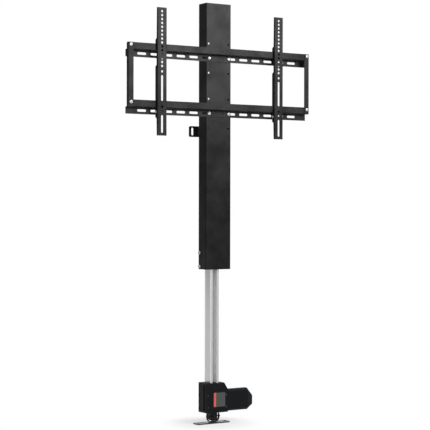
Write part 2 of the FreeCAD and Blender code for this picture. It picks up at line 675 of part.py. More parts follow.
def make_gearbox():
    front = new_body("gearbox_front")
    extrude(front, "shell", "XZ", "0", "gearbox_front", gearbox_outline())
    face = "-gearbox_front"
    round_edges(front, "gearbox_round", lines("Z", ("-gearbox_left", face)))
    round_edges(front, "gearbox_round", lines("X", (face, "gearbox_base"), (face, "gearbox_top")))
    cut(front, "panel", "XZ", face, "panel_depth",
        (rectangle, "panel_left", "panel_base", "gearbox_right", "panel_top"))
    flank = face + " + flank_front"
    cut(front, "flank", "YZ", "flank_depth - gearbox_left", "flank_depth",
        (rectangle, flank, "gearbox_base + flank_margin",
         flank + " + flank_width", "gearbox_top - flank_margin"))
    hollow_for_spindle(front)
    cut(front, "screw_sinks", "XZ", face, "case_screw_sink",
        *[(circle, x, z, "small_head + head_gap") for x, z in CASE_SCREWS])
    cut(front, "screw_holes", "XZ", face, "gearbox_front",
        *[(circle, x, z, "small_hole") for x, z in CASE_SCREWS])
    tab = ("tab_y - tab_width / 2", "tab_y + tab_width / 2")
    for end, low, high in (("top", "cover_top - cover_wall - tab_gauge", "cover_top - cover_wall"),
                           ("base", "cover_base + cover_wall", "cover_base + cover_wall + tab_gauge")):
        extrude(front, end + "_tab", "YZ", "gearbox_right", "tab_length",
                (rectangle, tab[0], low, tab[1], high))
    for end, top in (("top", "cover_top - cover_wall"), ("base", "cover_base + cover_wall + tab_gauge")):
        cut(front, end + "_tab_hole", "XY", top, "tab_gauge",
            (circle, "tab_screw_x", "tab_y", "small_hole"))

    rear = new_body("gearbox_rear")
    extrude(rear, "shell", "XZ", "gearbox_rear", "gearbox_rear", gearbox_outline())
    bevel_edges(rear, "gearbox_bevel", lines("Z", ("-gearbox_left", "gearbox_rear")))
    bevel_edges(rear, "gearbox_bevel", lines("X", ("gearbox_rear", "gearbox_top")))
    pocket_rear = "gearbox_rear - gearbox_bevel - pocket_edge"
    pocket_base = "gearbox_base + pocket_first"
    pocket = cut(rear, "pocket", "YZ", "pocket_depth - gearbox_left", "pocket_depth",
                 (rectangle, pocket_rear + " - pocket_width", pocket_base,
                  pocket_rear, pocket_base + " + pocket_height"))
    repeat(rear, pocket, "V", "(pocket_count - 1) * pocket_pitch", "pocket_count")
    hollow_for_spindle(rear)
    cut(rear, "worm_tunnel", "YZ", "gearbox_right", "gearbox_right + worm_length / 2 + 3 * wall_gap",
        (circle, "worm_offset", "motor_rise", "worm_radius + wall_gap / 2"))
    cut(rear, "screw_holes", "XZ", "0", "case_screw_grip + wall_gap",
        *[(circle, x, z, "small_hole") for x, z in CASE_SCREWS])

    screw = pan_screw(master("case_screw"), "small_screw", "gearbox_front - case_screw_sink + case_screw_grip",
                      "small_head", "small_head_height")
    copies("gearbox_screws", screw,
           [("-Y", x, "-gearbox_front + case_screw_sink", z) for x, z in CASE_SCREWS])


def moved_in(leg, other, wall):
    """Leg of a bevel, beside its other leg, on an outline that is moved in by a wall."""
    span = "(%s ^ 2 + %s ^ 2) ^ 0.5" % (leg, other)
    return "(%s - %s * (%s + %s - %s) / %s)" % (leg, wall, leg, other, span, other)


def cover_outline(wall, small_end=False):
    """Eight-sided outline of the motor cover square to its length, moved in by a wall."""
    low_y, high_y, low_z, high_z = "cover_front", "gearbox_rear", "cover_base", "cover_top"
    front, rear, deep, high = "cover_bevel", "cover_rear_bevel", "slope_run", "slope_fall"
    if small_end:
        low_y, high_y = low_y + " + nose_front", high_y + " - nose_rear"
        low_z, high_z = "motor_rise - nose_base", "motor_rise + nose_top"
        front, rear, deep, high = "nose_bevel", "nose_rear_bevel", "nose_slope_depth", "nose_slope_height"
    low_y, low_z = low_y + " + " + wall, low_z + " + " + wall
    high_y, high_z = high_y + " - " + wall, high_z + " - " + wall
    deep, high = moved_in(deep, high, wall), moved_in(high, deep, wall)
    front, rear = moved_in(front, front, wall), moved_in(rear, rear, wall)
    return (polygon, (low_y, low_z + " + " + front), (low_y + " + " + front, low_z),
            (high_y + " - " + rear, low_z), (high_y, low_z + " + " + rear),
            (high_y, high_z + " - " + high), (high_y + " - " + deep, high_z),
            (low_y + " + " + front, high_z), (low_y, high_z + " - " + front))


def cover_nose(cover, name, kind, wall, end):
    """Tapered end of the motor cover, or the room inside it."""
    loft = cover.newObject("PartDesign::" + kind, "motor_cover_" + name)
    loft.Profile = draw(cover, "motor_cover_%s_base" % name, "YZ", "cover_end - cover_nose",
                        [cover_outline(wall)])
    loft.Sections = [draw(cover, "motor_cover_%s_end" % name, "YZ", end, [cover_outline(wall, True)])]
    loft.Ruled = True
    doc.recompute()


def make_motor():
    cover = new_body("motor_cover")
    straight = "cover_length - cover_nose"
    extrude(cover, "barrel", "YZ", "gearbox_right", straight, cover_outline("0"))
    cover_nose(cover, "nose", "AdditiveLoft", "0", "cover_end")
    cut(cover, "inside", "YZ", "cover_end - cover_nose", straight, cover_outline("cover_wall"))
    cover_nose(cover, "nose_room", "SubtractiveLoft", "cover_wall", "cover_end - cover_wall")
    barrel = "inlet_radius - wall_gap"
    cut(cover, "screw_holes", "XY", "cover_top", "cover_height",
        (circle, "tab_screw_x", "tab_y", "small_hole"))
    cut(cover, "inlet_hole", "XY", "cover_base + cover_wall", "cover_wall",
        (circle, "inlet_x", "cover_middle", barrel + " + running_gap"))

    screw = pan_screw(master("cover_screw"), "small_screw", "cover_wall + tab_gauge", "small_head",
                      "small_head_height")
    copies("cover_screws", screw, [("+Z", "tab_screw_x", "tab_y", "cover_top"),
                                   ("-Z", "tab_screw_x", "tab_y", "cover_base")])

    inlet_end = "inlet_depth - inlet_lip"
    inlet = turn(new_body("power_inlet"), ("inlet_bore", "-inlet_lip"), ("inlet_radius", "-inlet_lip"),
                 ("inlet_radius", "0"), (barrel, "0"), (barrel, "inlet_depth"), ("0", "inlet_depth"),
                 ("0", inlet_end), ("inlet_bore", inlet_end))
    place(inlet, "+Z", "inlet_x", "cover_middle", "cover_base")

    boss = "motor_radius * 0.28"
    can = turn(new_body("motor_can"), ("0", "0"), ("motor_radius", "0"),
               ("motor_radius", "motor_length - boss_height"), ("motor_radius - boss_height", "motor_length"),
               (boss, "motor_length"),
               (boss, "motor_length + boss_height"), ("0", "motor_length + boss_height"))
    place(can, "+X", "gearbox_right", "worm_offset", "motor_rise")

    shaft_end, half, tip = "-gearbox_right", "worm_length / 2", "worm_length / 2 + 2 * wall_gap"
    worm = turn(new_body("worm_shaft"), ("0", shaft_end), ("worm_shaft_radius", shaft_end),
                ("worm_shaft_radius", "-(%s)" % tip), ("worm_radius", "-" + half), ("worm_radius", half),
                ("worm_shaft_radius", tip), ("0", tip))
    place(worm, "-X", "0", "worm_offset", "motor_rise")


def make_spindle():
    bottom, top = "step_base - spindle_tail", "bush_top - wall_gap"
    collar_top = "bearing_base - seat_gap"
    collar_base = collar_top + " - collar_height"
    end = "spindle_radius - spindle_bevel"
    turn(new_body("spindle"), ("0", bottom), (end, bottom), ("spindle_radius", bottom + " + spindle_bevel"),
         ("spindle_radius", collar_base), ("collar_radius", collar_base), ("collar_radius", collar_top),
         ("spindle_radius", collar_top), ("spindle_radius", top + " - spindle_bevel"), (end, top), ("0", top))
    bore = "spindle_radius + running_gap"
    wheel = new_body("worm_wheel")
    rim, hub = "wheel_radius", "(spindle_radius + wheel_radius) / 2"
    wheel_top = "wheel_base + wheel_width"
    rim_base, rim_top = "wheel_base + wheel_hub", wheel_top + " - wheel_hub"
    turn(wheel, (bore, "wheel_base"), (hub, "wheel_base"), (hub, rim_base), (rim, rim_base),
         ("wheel_radius - wheel_throat", "motor_rise"), (rim, rim_top), (hub, rim_top),
         (hub, wheel_top), (bore, wheel_top))
    ring("upper_bearing", bore, "bearing_radius", "bearing_base", "bearing_height")
    ring("lower_bearing", bore, "step_radius", "step_base", "step_height")
    ring("spindle_bush", bore, "bush_radius", "bush_base", "bush_height")


# Mast
def make_guide_rail():
    rail = new_body("guide_rail")
    inside, back = "rail_half - rail_wall", "rail_back - rail_wall"
    groove_rear, groove_front = "rail_back - groove_back", "rail_back - groove_back - groove_width"
    floor = "rail_half - groove_depth"
    right = [("rail_slot / 2", "-rail_back"), ("rail_half", "-rail_back"), ("rail_half", groove_front),
             (floor, groove_front), (floor, groove_rear), ("rail_half", groove_rear),
             ("rail_half", "rail_back")]
    left = [("-(%s)" % x, y) for x, y in reversed(right)]
    hollow = [("-rail_slot / 2", "-(%s)" % back), ("-(%s)" % inside, "-(%s)" % back), ("-(%s)" % inside, back),
              (inside, back), (inside, "-(%s)" % back), ("rail_slot / 2", "-(%s)" % back)]
    extrude(rail, "section", "XY", "gearbox_top", "rail_length", (polygon,) + tuple(right + left + hollow))
    round_edges(rail, "rail_round",
                lines("Z", *[(x, y) for x in both("rail_half") for y in both("rail_back")]))
    cut(rail, "bracket_holes", "XZ", back, "rail_wall",
        *[(circle, x, "bracket_middle", "small_hole") for x in both("bracket_screw_spacing / 2")])
    cut(rail, "guide_holes", "YZ", "rail_half", "rail_width", (circle, "0", "plug_middle", "small_hole"))


def make_top_guide():
    guide = new_body("top_guide")
    side, nose, step = "inner_half - seat_gap", "guide_nose / 2", "inner_front + seat_gap + guide_step"
    front, back = "inner_front + seat_gap", "inner_back - seat_gap"
    extrude(guide, "shoe", "XY", "rail_top", "guide_height",
            (polygon, ("-" + nose, front), (nose, front), (nose, step), (side, step), (side, back),
             ("-(%s)" % side, back), ("-(%s)" % side, step), ("-" + nose, step)))
    plug_x, plug_y = "rail_half - rail_wall - plug_gap", "rail_back - rail_wall - plug_gap"
    extrude(guide, "plug", "XY", "rail_top - guide_plug", "guide_plug",
            (rectangle, "-(%s)" % plug_x, "-(%s)" % plug_y, plug_x, plug_y))
    cut(guide, "bush_seat", "XY", "bush_top", "bush_top - rail_top + guide_plug",
        (circle, "0", "0", "bush_radius + running_gap"))
    cut(guide, "bush_entry", "XY", "guide_top", "guide_top - bush_top",
        (circle, "0", "0", "spindle_radius + wall_gap"))
    window, bridge = "%s - guide_rim" % side, "rail_half + guide_rim / 2"
    for name, low, high in (("left_window", "-(%s)" % window, "-(%s)" % bridge),
                            ("right_window", bridge, window)):
        cut(guide, name, "XY", "guide_top", "guide_height",
            (rectangle, low, step + " + guide_rim", high, back + " - guide_rim"))
    cut(guide, "screw_hole", "YZ", "rail_half", "rail_width", (circle, "0", "plug_middle", "small_hole"))
    screw = pan_screw(master("guide_screw"), "small_screw", "rail_wall + screw_grip", "small_head",
                      "small_head_height")
    copies("guide_screws", screw,
           [("+X", "rail_half", "0", "plug_middle"), ("-X", "-rail_half", "0", "plug_middle")])


def make_wall_bracket():
    bracket = new_body("wall_bracket")
    front, rear = "rail_back", "rail_back + bracket_gauge"
    ear, ear_rear = "bracket_ear", "bracket_ear + bracket_gauge"
    half, pad, leg = "bracket_width / 2", "bracket_pad / 2", "bracket_pad / 2 + bracket_slope"
    shift = "bracket_gauge * 0.5"
    right = [(pad, front), (leg, ear), (half, ear), (half, ear_rear), (leg + " - " + shift, ear_rear),
             (pad + " - " + shift, rear)]
    left = [("-(%s)" % x, y) for x, y in reversed(right)]
    extrude(bracket, "strip", "XY", "bracket_top - bracket_height", "bracket_height",
            (polygon,) + tuple(right + left))
    corners = [(x, z) for x in both(half) for z in ("bracket_top", "bracket_top - bracket_height")]
    round_edges(bracket, "bracket_round", lines("Y", *corners))
    cut(bracket, "ear_slots", "XZ", "bracket_ear", "bracket_gauge",
        *[(slot, x, "bracket_middle", "ear_slot_length", "ear_slot_width", True)
          for x in both("ear_slot_spacing / 2")])
    cut(bracket, "screw_holes", "XZ", front, "bracket_gauge",
        *[(circle, x, "bracket_middle", "small_hole") for x in both("bracket_screw_spacing / 2")])
    screw = pan_screw(master("bracket_screw"), "small_screw", "bracket_gauge + rail_wall", "small_head",
                      "small_head_height")
    copies("wall_bracket_screws", screw,
           [("+Y", x, rear, "bracket_middle") for x in both("bracket_screw_spacing / 2")])


# Column
def make_column():
    column = new_body("column")
    right = [("column_half", "column_front"), ("column_half", "column_back"),
             ("column_half - column_lip", "column_back"), ("column_half - column_lip", "inner_back"),
             ("inner_half", "inner_back"), ("inner_half", "inner_front")]
    left = [("-(%s)" % x, y) for x, y in reversed(right)]
    extrude(column, "section", "XY", "column_rise", "column_length", (polygon,) + tuple(right + left))
    outer = [(x, y) for x in both("column_half") for y in ("column_front", "column_back")]
    inner = [(x, y) for x in both("inner_half") for y in ("inner_front", "inner_back")]
    round_edges(column, "column_bend", lines("Z", *outer))
    round_edges(column, "column_bend - column_gauge", lines("Z", *inner))
    holes = [(circle, x, z + " - column_hole_pitch", "column_hole_radius")
             for x in both("column_hole_x") for z in ("upper_slots", "lower_slots")]
    row = cut(column, "front_holes", "XZ", "column_front", "column_gauge", *holes)
    repeat(column, row, "V", "(column_hole_count - 1) * column_hole_pitch", "column_hole_count")
    cut(column, "side_holes", "YZ", "column_half", "column_width",
        *[(circle, "carriage_bolt_y", z, "column_hole_radius") for z in ("bolt_low", "bolt_high")])


def make_cap():
    cap = new_body("column_cap")
    extrude(cap, "lid", "XY", "column_top", "cap_gauge",
            (rectangle, "-column_half", "column_front", "column_half", "column_back"))
    round_edges(cap, "column_bend", lines("Z", *[(x, y) for x in both("column_half")
                                                 for y in ("column_front", "column_back")]))
    spots = [(x, "cap_screw_y") for x in ("-cap_screw_spacing", "0", "cap_screw_spacing")]
    cut(cap, "screw_holes", "XY", "column_top + cap_gauge", "cap_gauge",
        *[(circle, x, y, "small_hole") for x, y in spots])

    buffer = new_body("top_buffer")
    low_y, high_y = "cap_screw_y - buffer_depth / 2", "cap_screw_y + buffer_depth / 2"
    extrude(buffer, "block", "XY", "column_top - buffer_height", "buffer_height",
            (rectangle, "-buffer_width / 2", low_y, "buffer_width / 2", high_y))
    corners = [(x, y) for x in both("buffer_width / 2") for y in (low_y, high_y)]
    round_edges(buffer, "buffer_round", lines("Z", *corners))
    cut(buffer, "screw_holes", "XY", "column_top", "buffer_height - buffer_floor",
        *[(circle, x, y, "small_hole") for x, y in spots])
    screw = pan_screw(master("cap_screw"), "small_screw",
                      "cap_gauge + buffer_height - buffer_floor - wall_gap", "small_head", "small_head_height")
    copies("cap_screws", screw, [("+Z", x, y, "column_top + cap_gauge") for x, y in spots])


def make_carriage():
    bracket = new_body("carriage_bracket")
    side, inner = "inner_half", "inner_half - carriage_gauge"
    right = [(side, "carriage_front"), (side, "carriage_rear"),
             (inner, "carriage_rear"), (inner, "slider_front")]
    left = [("-(%s)" % x, y) for x, y in reversed(right)]
    extrude(bracket, "channel", "XY", "carriage_base", "carriage_height", (polygon,) + tuple(right + left))
    round_edges(bracket, "carriage_gauge + carriage_bend",
                lines("Z", *[(x, "carriage_front") for x in both(side)]))
    round_edges(bracket, "carriage_bend", lines("Z", *[(x, "slider_front") for x in both(inner)]))
    cut(bracket, "bolt_holes", "YZ", side, "2 * inner_half",
        *[(circle, "carriage_bolt_y", z, "column_hole_radius") for z in ("bolt_low", "bolt_high")])
    screw_levels = ("slider_base + slider_screw_inset", "slider_top - slider_screw_inset")
    cut(bracket, "slider_holes", "XZ", "carriage_front", "carriage_gauge",
        *[(circle, "0", z, "bolt_hole") for z in screw_levels])

    slider = new_body("slider_block")
    wide, deep = "rail_half - rail_wall - seat_gap", "rail_back - rail_wall - seat_gap"
    neck = "rail_slot / 2 - seat_gap"
    right = [(neck, "slider_front"), (neck, "-(%s)" % deep), (wide, "-(%s)" % deep), (wide, deep)]
    left = [("-(%s)" % x, y) for x, y in reversed(right)]
    extrude(slider, "shoe", "XY", "slider_base", "slider_height", (polygon,) + tuple(right + left))
    cut(slider, "nut_bore", "XY", "slider_top", "nut_barrel", (circle, "0", "0", "nut_radius + running_gap"))
    cut(slider, "spindle_bore", "XY", "slider_top - nut_barrel", "slider_height - nut_barrel",
        (circle, "0", "0", "spindle_radius + wall_gap"))
    cut(slider, "screw_holes", "XZ", "slider_front", "slider_screw_grip + wall_gap",
        *[(circle, "0", z, "bolt_hole") for z in screw_levels])

    nut_top = "slider_top + nut_flange_height"
    bore = "spindle_radius + running_gap"
    turn(new_body("spindle_nut"), (bore, "slider_top - nut_barrel"), ("nut_radius", "slider_top - nut_barrel"),
         ("nut_radius", "slider_top"), ("nut_flange", "slider_top"),
         ("nut_flange", nut_top + " - spindle_bevel"),
         ("nut_flange - spindle_bevel", nut_top), (bore, nut_top))

    screw = pan_screw(master("slider_screw"), "bolt_radius", "carriage_gauge + slider_screw_grip", "bolt_head",
                      "bolt_head_height")
    copies("slider_screws", screw, [("-Y", "0", "carriage_front", z) for z in screw_levels])


def hex_nut(name, flats, height, bolt):
    """Nut master standing on its origin, with its corners along X."""
    nut = master(name)
    half = "%s / 2" % flats
    corner = "%s * 0.57735" % flats
    extrude(nut, "blank", "XY", "0", height,
            (polygon, (corner, "0"), (corner + " / 2", half), ("-%s / 2" % corner, half),
             ("-" + corner, "0"), ("-%s / 2" % corner, "-" + half), (corner + " / 2", "-" + half)))
    cut(nut, "bore", "XY", height, height, (circle, "0", "0", bolt + " + running_gap"))
    return nut


def make_frame_bolts():
    nut = hex_nut("frame_nut", "nut_flats", "nut_height", "bolt_radius")
    side_bolt = pan_screw(master("side_bolt"), "bolt_radius",
                          "column_gauge + carriage_gauge + nut_height + thread_end", "bolt_head",
                          "bolt_head_height")
    levels = ("bolt_low", "bolt_high")
    sides = [("+X", "+"), ("-X", "-")]
    copies("carriage_bolts", side_bolt,
           [(facing, "%s1 * column_half" % sign, "carriage_bolt_y", z)
            for facing, sign in sides for z in levels])
    inward = {"+X": "-X", "-X": "+X"}
    copies("carriage_nuts", nut,
           [(inward[facing], "%s1 * (inner_half - carriage_gauge)" % sign, "carriage_bolt_y", z)
            for facing, sign in sides for z in levels])

    rail_bolt = pan_screw(master("rail_bolt"), "bolt_radius",
                          "frame_gauge + column_gauge + nut_height + thread_end", "bolt_head",
                          "bolt_head_height")
    spots = [(x, z) for z in ("upper_slots", "lower_slots") for x in both("column_hole_x")]
    copies("rail_screws", rail_bolt, [("-Y", x, "back_face", z) for x, z in spots])
    copies("rail_nuts", nut, [("+Y", x, "inner_front", z) for x, z in spots])


# Screen frame
def make_screen_rail(name, top, slots):
    rail = new_body(name)
    web = "%s - strip_front" % top
    base = "%s - rail_height" % top
    strip_back_face = "strip_face + frame_gauge"
    extrude(rail, "section", "YZ", "-strip_half", "2 * strip_half",
            (polygon, ("strip_face", top), (strip_back_face, top), (strip_back_face, web + " + frame_gauge"),
             ("column_front", web + " + frame_gauge"), ("column_front", base), ("back_face", base),
             ("back_face", web), ("strip_face", web)))
    round_edges(rail, "frame_bend", lines("X", ("column_front", web + " + frame_gauge"), ("strip_face", web)))
    round_edges(rail, "frame_bend - frame_gauge",
                lines("X", (strip_back_face, web + " + frame_gauge"), ("back_face", web)))
    first = cut(rail, "slots", "XZ", "back_face", "frame_gauge",
                (slot, "-(slot_count - 1) / 2 * slot_pitch", slots, "slot_length", "slot_width"))
    repeat(rail, first, "H", "(slot_count - 1) * slot_pitch", "slot_count")
    bar_level = top + " - bar_screw_drop"
    cut(rail, "strip_holes", "XZ", "strip_face", "frame_gauge",
        (circle, "0", top + " - strip_front / 2", "small_screw + head_gap"),
        *[(circle, x, bar_level, "small_hole") for x in both("bar_screw_x")])


def make_end_bar(name, sign):
    bar = new_body(name)
    outer = "%s frame_half" % sign
    inner = "%s (frame_half - bar_width)" % sign
    lip = "%s strip_half" % sign
    extrude(bar, "section", "XY", "lower_web", "upper_top - lower_web",
            (polygon, (outer, "bar_face"), (outer, "bar_face + bar_flange"), (lip, "bar_face + bar_flange"),
             (lip, "strip_face"), (inner, "strip_face"), (inner, "bar_face")))
    round_edges(bar, "frame_bend", lines("Z", (outer, "bar_face")))
    flange = "bar_face + bar_flange"
    round_edges(bar, "bar_round", lines("X", (flange, "lower_web"), (flange, "upper_top")))
    round_edges(bar, "bar_round", lines("Y", (inner, "lower_web")))
    screw_x = "%s bar_screw_x" % sign
    cut(bar, "screw_holes", "XZ", "bar_face", "frame_gauge",
        *[(circle, screw_x, top + " - bar_screw_drop", "small_hole") for top in ("upper_top", "lower_top")])


def make_screen_frame():
    make_screen_rail("upper_rail", "upper_top", "upper_slots")
    make_screen_rail("lower_rail", "lower_top", "lower_slots")
    make_end_bar("left_end_bar", "-1 *")
    make_end_bar("right_end_bar", "1 *")
    screw = pan_screw(master("bar_screw"), "small_screw", "2 * frame_gauge + screw_grip", "bolt_head",
                      "bolt_head_height")
    copies("end_bar_screws", screw,
           [("-Y", x, "bar_face", top + " - bar_screw_drop")
            for top in ("upper_top", "lower_top") for x in both("bar_screw_x")])


# Arms that carry the screen
def hook(top, web):
    """Slot of an arm flange that drops over a front strip, from above the strip down to the lip's end."""
    lip_end = web + " + frame_gauge + hook_gap"
    roof = top + " + seat_gap"
    return [("arm_back", lip_end), ("hook_back", lip_end), ("hook_back", roof), ("hook_front", roof)]


def arm_side():
    """Side view of an arm: straight front, flange that is shallow at the ends and deep at the hooks."""
    tip = "arm_face + arm_tip"
    under_web = "lower_web - hook_gap"
    shoulder, waist, foot = "upper_top + hook_shoulder", "upper_web - waist_drop", "lower_web - lock_lug"
    return ([("arm_face", "arm_base"), ("arm_face", "arm_top"), (tip, "arm_top"),
             ("hook_front", shoulder + " + hook_slope"), ("arm_back", shoulder)]
            + hook("upper_top", "upper_web")
            + [("hook_front", waist), ("arm_back", waist + " - hook_slope")]
            + hook("lower_top", "lower_web")
            + [("hook_front", under_web), ("arm_back", under_web), ("arm_back", foot),
               ("hook_front", foot + " - hook_slope"), (tip, "arm_base")])


def make_arm(name, x):
    arm = new_body(name)
    left, right = "%s - arm_width / 2" % x, "%s + arm_width / 2" % x
    extrude(arm, "blank", "YZ", left, "arm_width", (polygon,) + tuple(arm_side()))
    cut(arm, "channel", "XZ", "arm_inner", "arm_flange",
        (rectangle, left + " + arm_gauge", "arm_base", right + " - arm_gauge", "arm_top"))
    round_edges(arm, "arm_gauge", lines("Z", (left, "arm_face"), (right, "arm_face")))
    radius = "arm_hole / 2"
    first = cut(arm, "holes", "XZ", "arm_face", "arm_gauge", (circle, x, "arm_top - arm_first_hole", radius))
    repeat(arm, first, "V", "(arm_hole_count - 1) * arm_hole_pitch", "arm_hole_count", backwards=True)
    single = ["arm_first_hole + screen_pitch", "pair_hole", "pair_hole + pair_pitch"]
    slots = [("upper_slot_top", "upper_slot_length"), ("lower_slot_top", "lower_slot_length")]
    cut(arm, "screen_slots", "XZ", "arm_face", "arm_gauge",
        *[(circle, x, "arm_top - (%s)" % drop, radius) for drop in single],
        *[(slot, x, "arm_top - %s - %s / 2" % (top, length), length, "arm_hole", True)
          for top, length in slots])
    cut(arm, "lock_holes", "YZ", right, "arm_width",
        (circle, "lock_y", "lock_rise", "lock_radius + running_gap"))


def make_arms():
    bolt = pan_screw(master("arm_bolt"), "lock_radius", "arm_width + lock_nut_height + thread_end",
                     "lock_head", "lock_head_height")
    nut = hex_nut("arm_nut", "lock_nut_flats", "lock_nut_height", "lock_radius")
    for side in ("left", "right"):
        x = side + "_arm_x"
        make_arm(side + "_arm", x)
        copies(side + "_lock_bolt", bolt, [("-X", x + " - arm_width / 2", "lock_y", "lock_rise")])
        copies(side + "_lock_nut", nut, [("+X", x + " + arm_width / 2", "lock_y", "lock_rise")])


def check_and_export():
    doc.recompute()
    for item in doc.Objects:
        if "Invalid" in item.State or "Error" in item.State:
            raise RuntimeError("failed: %s %s" % (item.Label, item.State))
    for name, item in nodes.items():
        shape = item.Shape
        if shape.isNull() or not shape.isValid() or not shape.Solids:
            raise RuntimeError("bad shape: " + name)
    os.makedirs("parts", exist_ok=True)
    for name, item in nodes.items():
        item.Shape.exportStep("parts/%s.step" % name)
    print(len(nodes), "pieces written")


fill_sheets()
make_foot()
make_clevis()
make_gearbox()
make_motor()
make_spindle()
make_guide_rail()
make_top_guide()
make_wall_bracket()
make_column()
make_cap()
make_carriage()
make_frame_bolts()
make_screen_frame()
make_arms()
check_and_export()
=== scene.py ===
"""Looks of the screen lift: thread, screw heads, blank plate, clevis lug, finishes, light and camera."""

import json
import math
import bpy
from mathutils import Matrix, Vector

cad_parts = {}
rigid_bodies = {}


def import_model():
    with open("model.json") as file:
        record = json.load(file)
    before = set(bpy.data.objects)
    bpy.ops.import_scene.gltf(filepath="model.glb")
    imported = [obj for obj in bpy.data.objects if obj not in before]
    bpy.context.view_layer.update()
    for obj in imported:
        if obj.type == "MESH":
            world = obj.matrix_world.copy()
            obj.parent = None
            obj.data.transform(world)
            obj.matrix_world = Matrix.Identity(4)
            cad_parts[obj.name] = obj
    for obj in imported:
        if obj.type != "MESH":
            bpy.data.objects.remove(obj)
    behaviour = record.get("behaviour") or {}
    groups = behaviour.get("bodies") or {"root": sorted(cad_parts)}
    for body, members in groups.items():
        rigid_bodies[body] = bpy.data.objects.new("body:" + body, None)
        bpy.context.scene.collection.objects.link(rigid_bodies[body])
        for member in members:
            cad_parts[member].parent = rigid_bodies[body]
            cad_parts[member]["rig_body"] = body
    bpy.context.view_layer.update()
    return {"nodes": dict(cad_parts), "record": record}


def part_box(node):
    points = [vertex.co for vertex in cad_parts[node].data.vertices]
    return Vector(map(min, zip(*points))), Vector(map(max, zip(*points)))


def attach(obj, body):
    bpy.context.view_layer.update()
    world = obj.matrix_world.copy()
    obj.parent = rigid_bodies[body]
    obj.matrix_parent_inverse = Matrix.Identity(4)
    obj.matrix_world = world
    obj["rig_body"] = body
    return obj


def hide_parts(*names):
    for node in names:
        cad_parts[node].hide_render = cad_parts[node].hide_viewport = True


bl_info = {
    "name": "Screen Lift Looks",
    "version": (1, 0, 0),
    "blender": (4, 5, 0),
    "location": "View3D > Sidebar > Lift",
    "description": "Threads, fasteners, finishes and a white stage for the packed screen lift",
    "category": "Object",
}

import bmesh
import bpy
from bpy.props import FloatProperty, FloatVectorProperty, IntProperty, PointerProperty
from mathutils import Matrix, Quaternion, Vector

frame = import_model()
MM = 0.001
X = Vector((1, 0, 0))
Y = Vector((0, 1, 0))
Z = Vector((0, 0, 1))
# Depth under a hollow node's outer faces at which its inside begins
SKIN = 0.4 * MM
# Points nearer to each other than this lie at one place
NEAR = 0.01 * MM
# Cosine above which two directions are the same
SAME_WAY = 0.99
# Points beyond this part of the widest radius lie on its rim
RIM = 0.97
# Depth under the seat of a screw head at which only the shank is left
UNDER_HEAD = 0.2 * MM
# Sides of a round bar and of a screw
BAR_SIDES = 32
SCREW_SIDES = 36


def length(label, text, value):
    """A size in millimetres, kept in metres."""
    return FloatProperty(name=label, description=text, default=value * MM, min=0, unit="LENGTH",
                         precision=5)


def count(label, text, value, least):
    """A whole number."""
    return IntProperty(name=label, description=text, default=value, min=least)


def angle(label, text, value):
    """A turn in degrees, kept in radians."""
    return FloatProperty(name=label, description=text, default=math.radians(value), subtype="ANGLE")


def share(label, text, value):
    """A part of one."""
    return FloatProperty(name=label, description=text, default=value, min=0, max=1, subtype="FACTOR")


def paint(label, text, value):
    """A colour in linear light."""
    return FloatVectorProperty(name=label, description=text, default=value, size=3, min=0, max=1,
                               subtype="COLOR")


def spot(label, text, value):
    """A place in the room."""
    return FloatVectorProperty(name=label, description=text, default=value, size=3, subtype="TRANSLATION",
                               unit="LENGTH")


def watts(label, text, value):
    """The power of a lamp."""
    return FloatProperty(name=label, description=text, default=value, min=0, unit="POWER")


class LiftSizes(bpy.types.PropertyGroup):
    """Sizes of the pieces that this file models."""

    thread_lead: length("Thread lead", "Rise of the spindle thread in one turn", 10)
    thread_starts: count("Thread starts", "Threads side by side on the spindle", 5, 1)
    thread_depth: length("Thread depth", "From the crest of the spindle thread to its root", 0.9)
    thread_flank: share("Thread flank", "Rise of a flank over the pitch", 0.16)
    thread_flat: share("Thread flat", "Width of a crest or root over the pitch", 0.34)
    thread_steps: count("Thread steps", "Steps in one turn of the thread", 20, 8)
    journal: length("Plain journal", "Plain end of the spindle in its bush", 21)
    spindle_chamfer: length("Spindle chamfer", "Chamfer at the ends of the spindle", 0.8)
    collar_edge: length("Collar edge", "Rounding of the spindle's collar", 0.3)
    crown: share("Crown", "Part of a screw head's height that is rounded", 0.62)
    recess_reach: share("Recess reach", "Cross recess over the width of the head", 0.58)
    recess_width: share("Recess width", "Arm of the cross over the width of the head", 0.15)
    recess_depth: share("Recess depth", "Depth of the recess over the height of the head", 0.62)
    recess_taper: share("Recess taper", "Bottom of the cross over its mouth", 0.6)
    socket_reach: share("Socket width", "Hexagon socket over the width of the head", 0.52)
    socket_step: share("Socket step", "Flat round the drill point over the socket's radius", 0.2)
    socket_point: share("Socket point", "Depth of the drill point over the height of the head", 0.1)
    tip: share("Screw tip", "Chamfer of the tip over the radius of the shank", 0.25)
    plate_width: length("Plate width", "Blank plate on the gearbox front, along X", 46)
    plate_height: length("Plate height", "Blank plate on the gearbox front, along Z", 48.8)
    plate_left: length("Plate inset", "Plate from the left side of the gearbox", 30.4)
    plate_low: length("Plate rise", "Plate above the bottom of the gearbox", 20.1)
    plate_gauge: length("Plate gauge", "Thickness of the plate", 0.3)
    plate_round: length("Plate corners", "Corner radius of the plate", 2.5)
    plate_band: length("Plate band", "Width of the coloured band at its left", 9)
    plate_rim: length("Plate rim", "Border on the face of the plate", 0.1)
    panel_depth: length("Panel depth", "Depth of the sunk gearbox panel that the plate lies in", 1.6)
    lug_front: length("Lug front", "Front face of the clevis lug ahead of its pin", 14)
    lug_rear: length("Lug rear", "Rear face of the clevis lug behind its pin", 22)
    lug_toe: length("Lug toe", "Rounding of the lug's lower front corner", 4)
    lug_heel: length("Lug heel", "Rounding of the lug's lower rear corner", 15)
    lug_edge: length("Lug edges", "Rounding of the lug's edges", 1.5)
    lug_bore: length("Lug bore", "Radius of the lug's hole for its pin", 2.05)


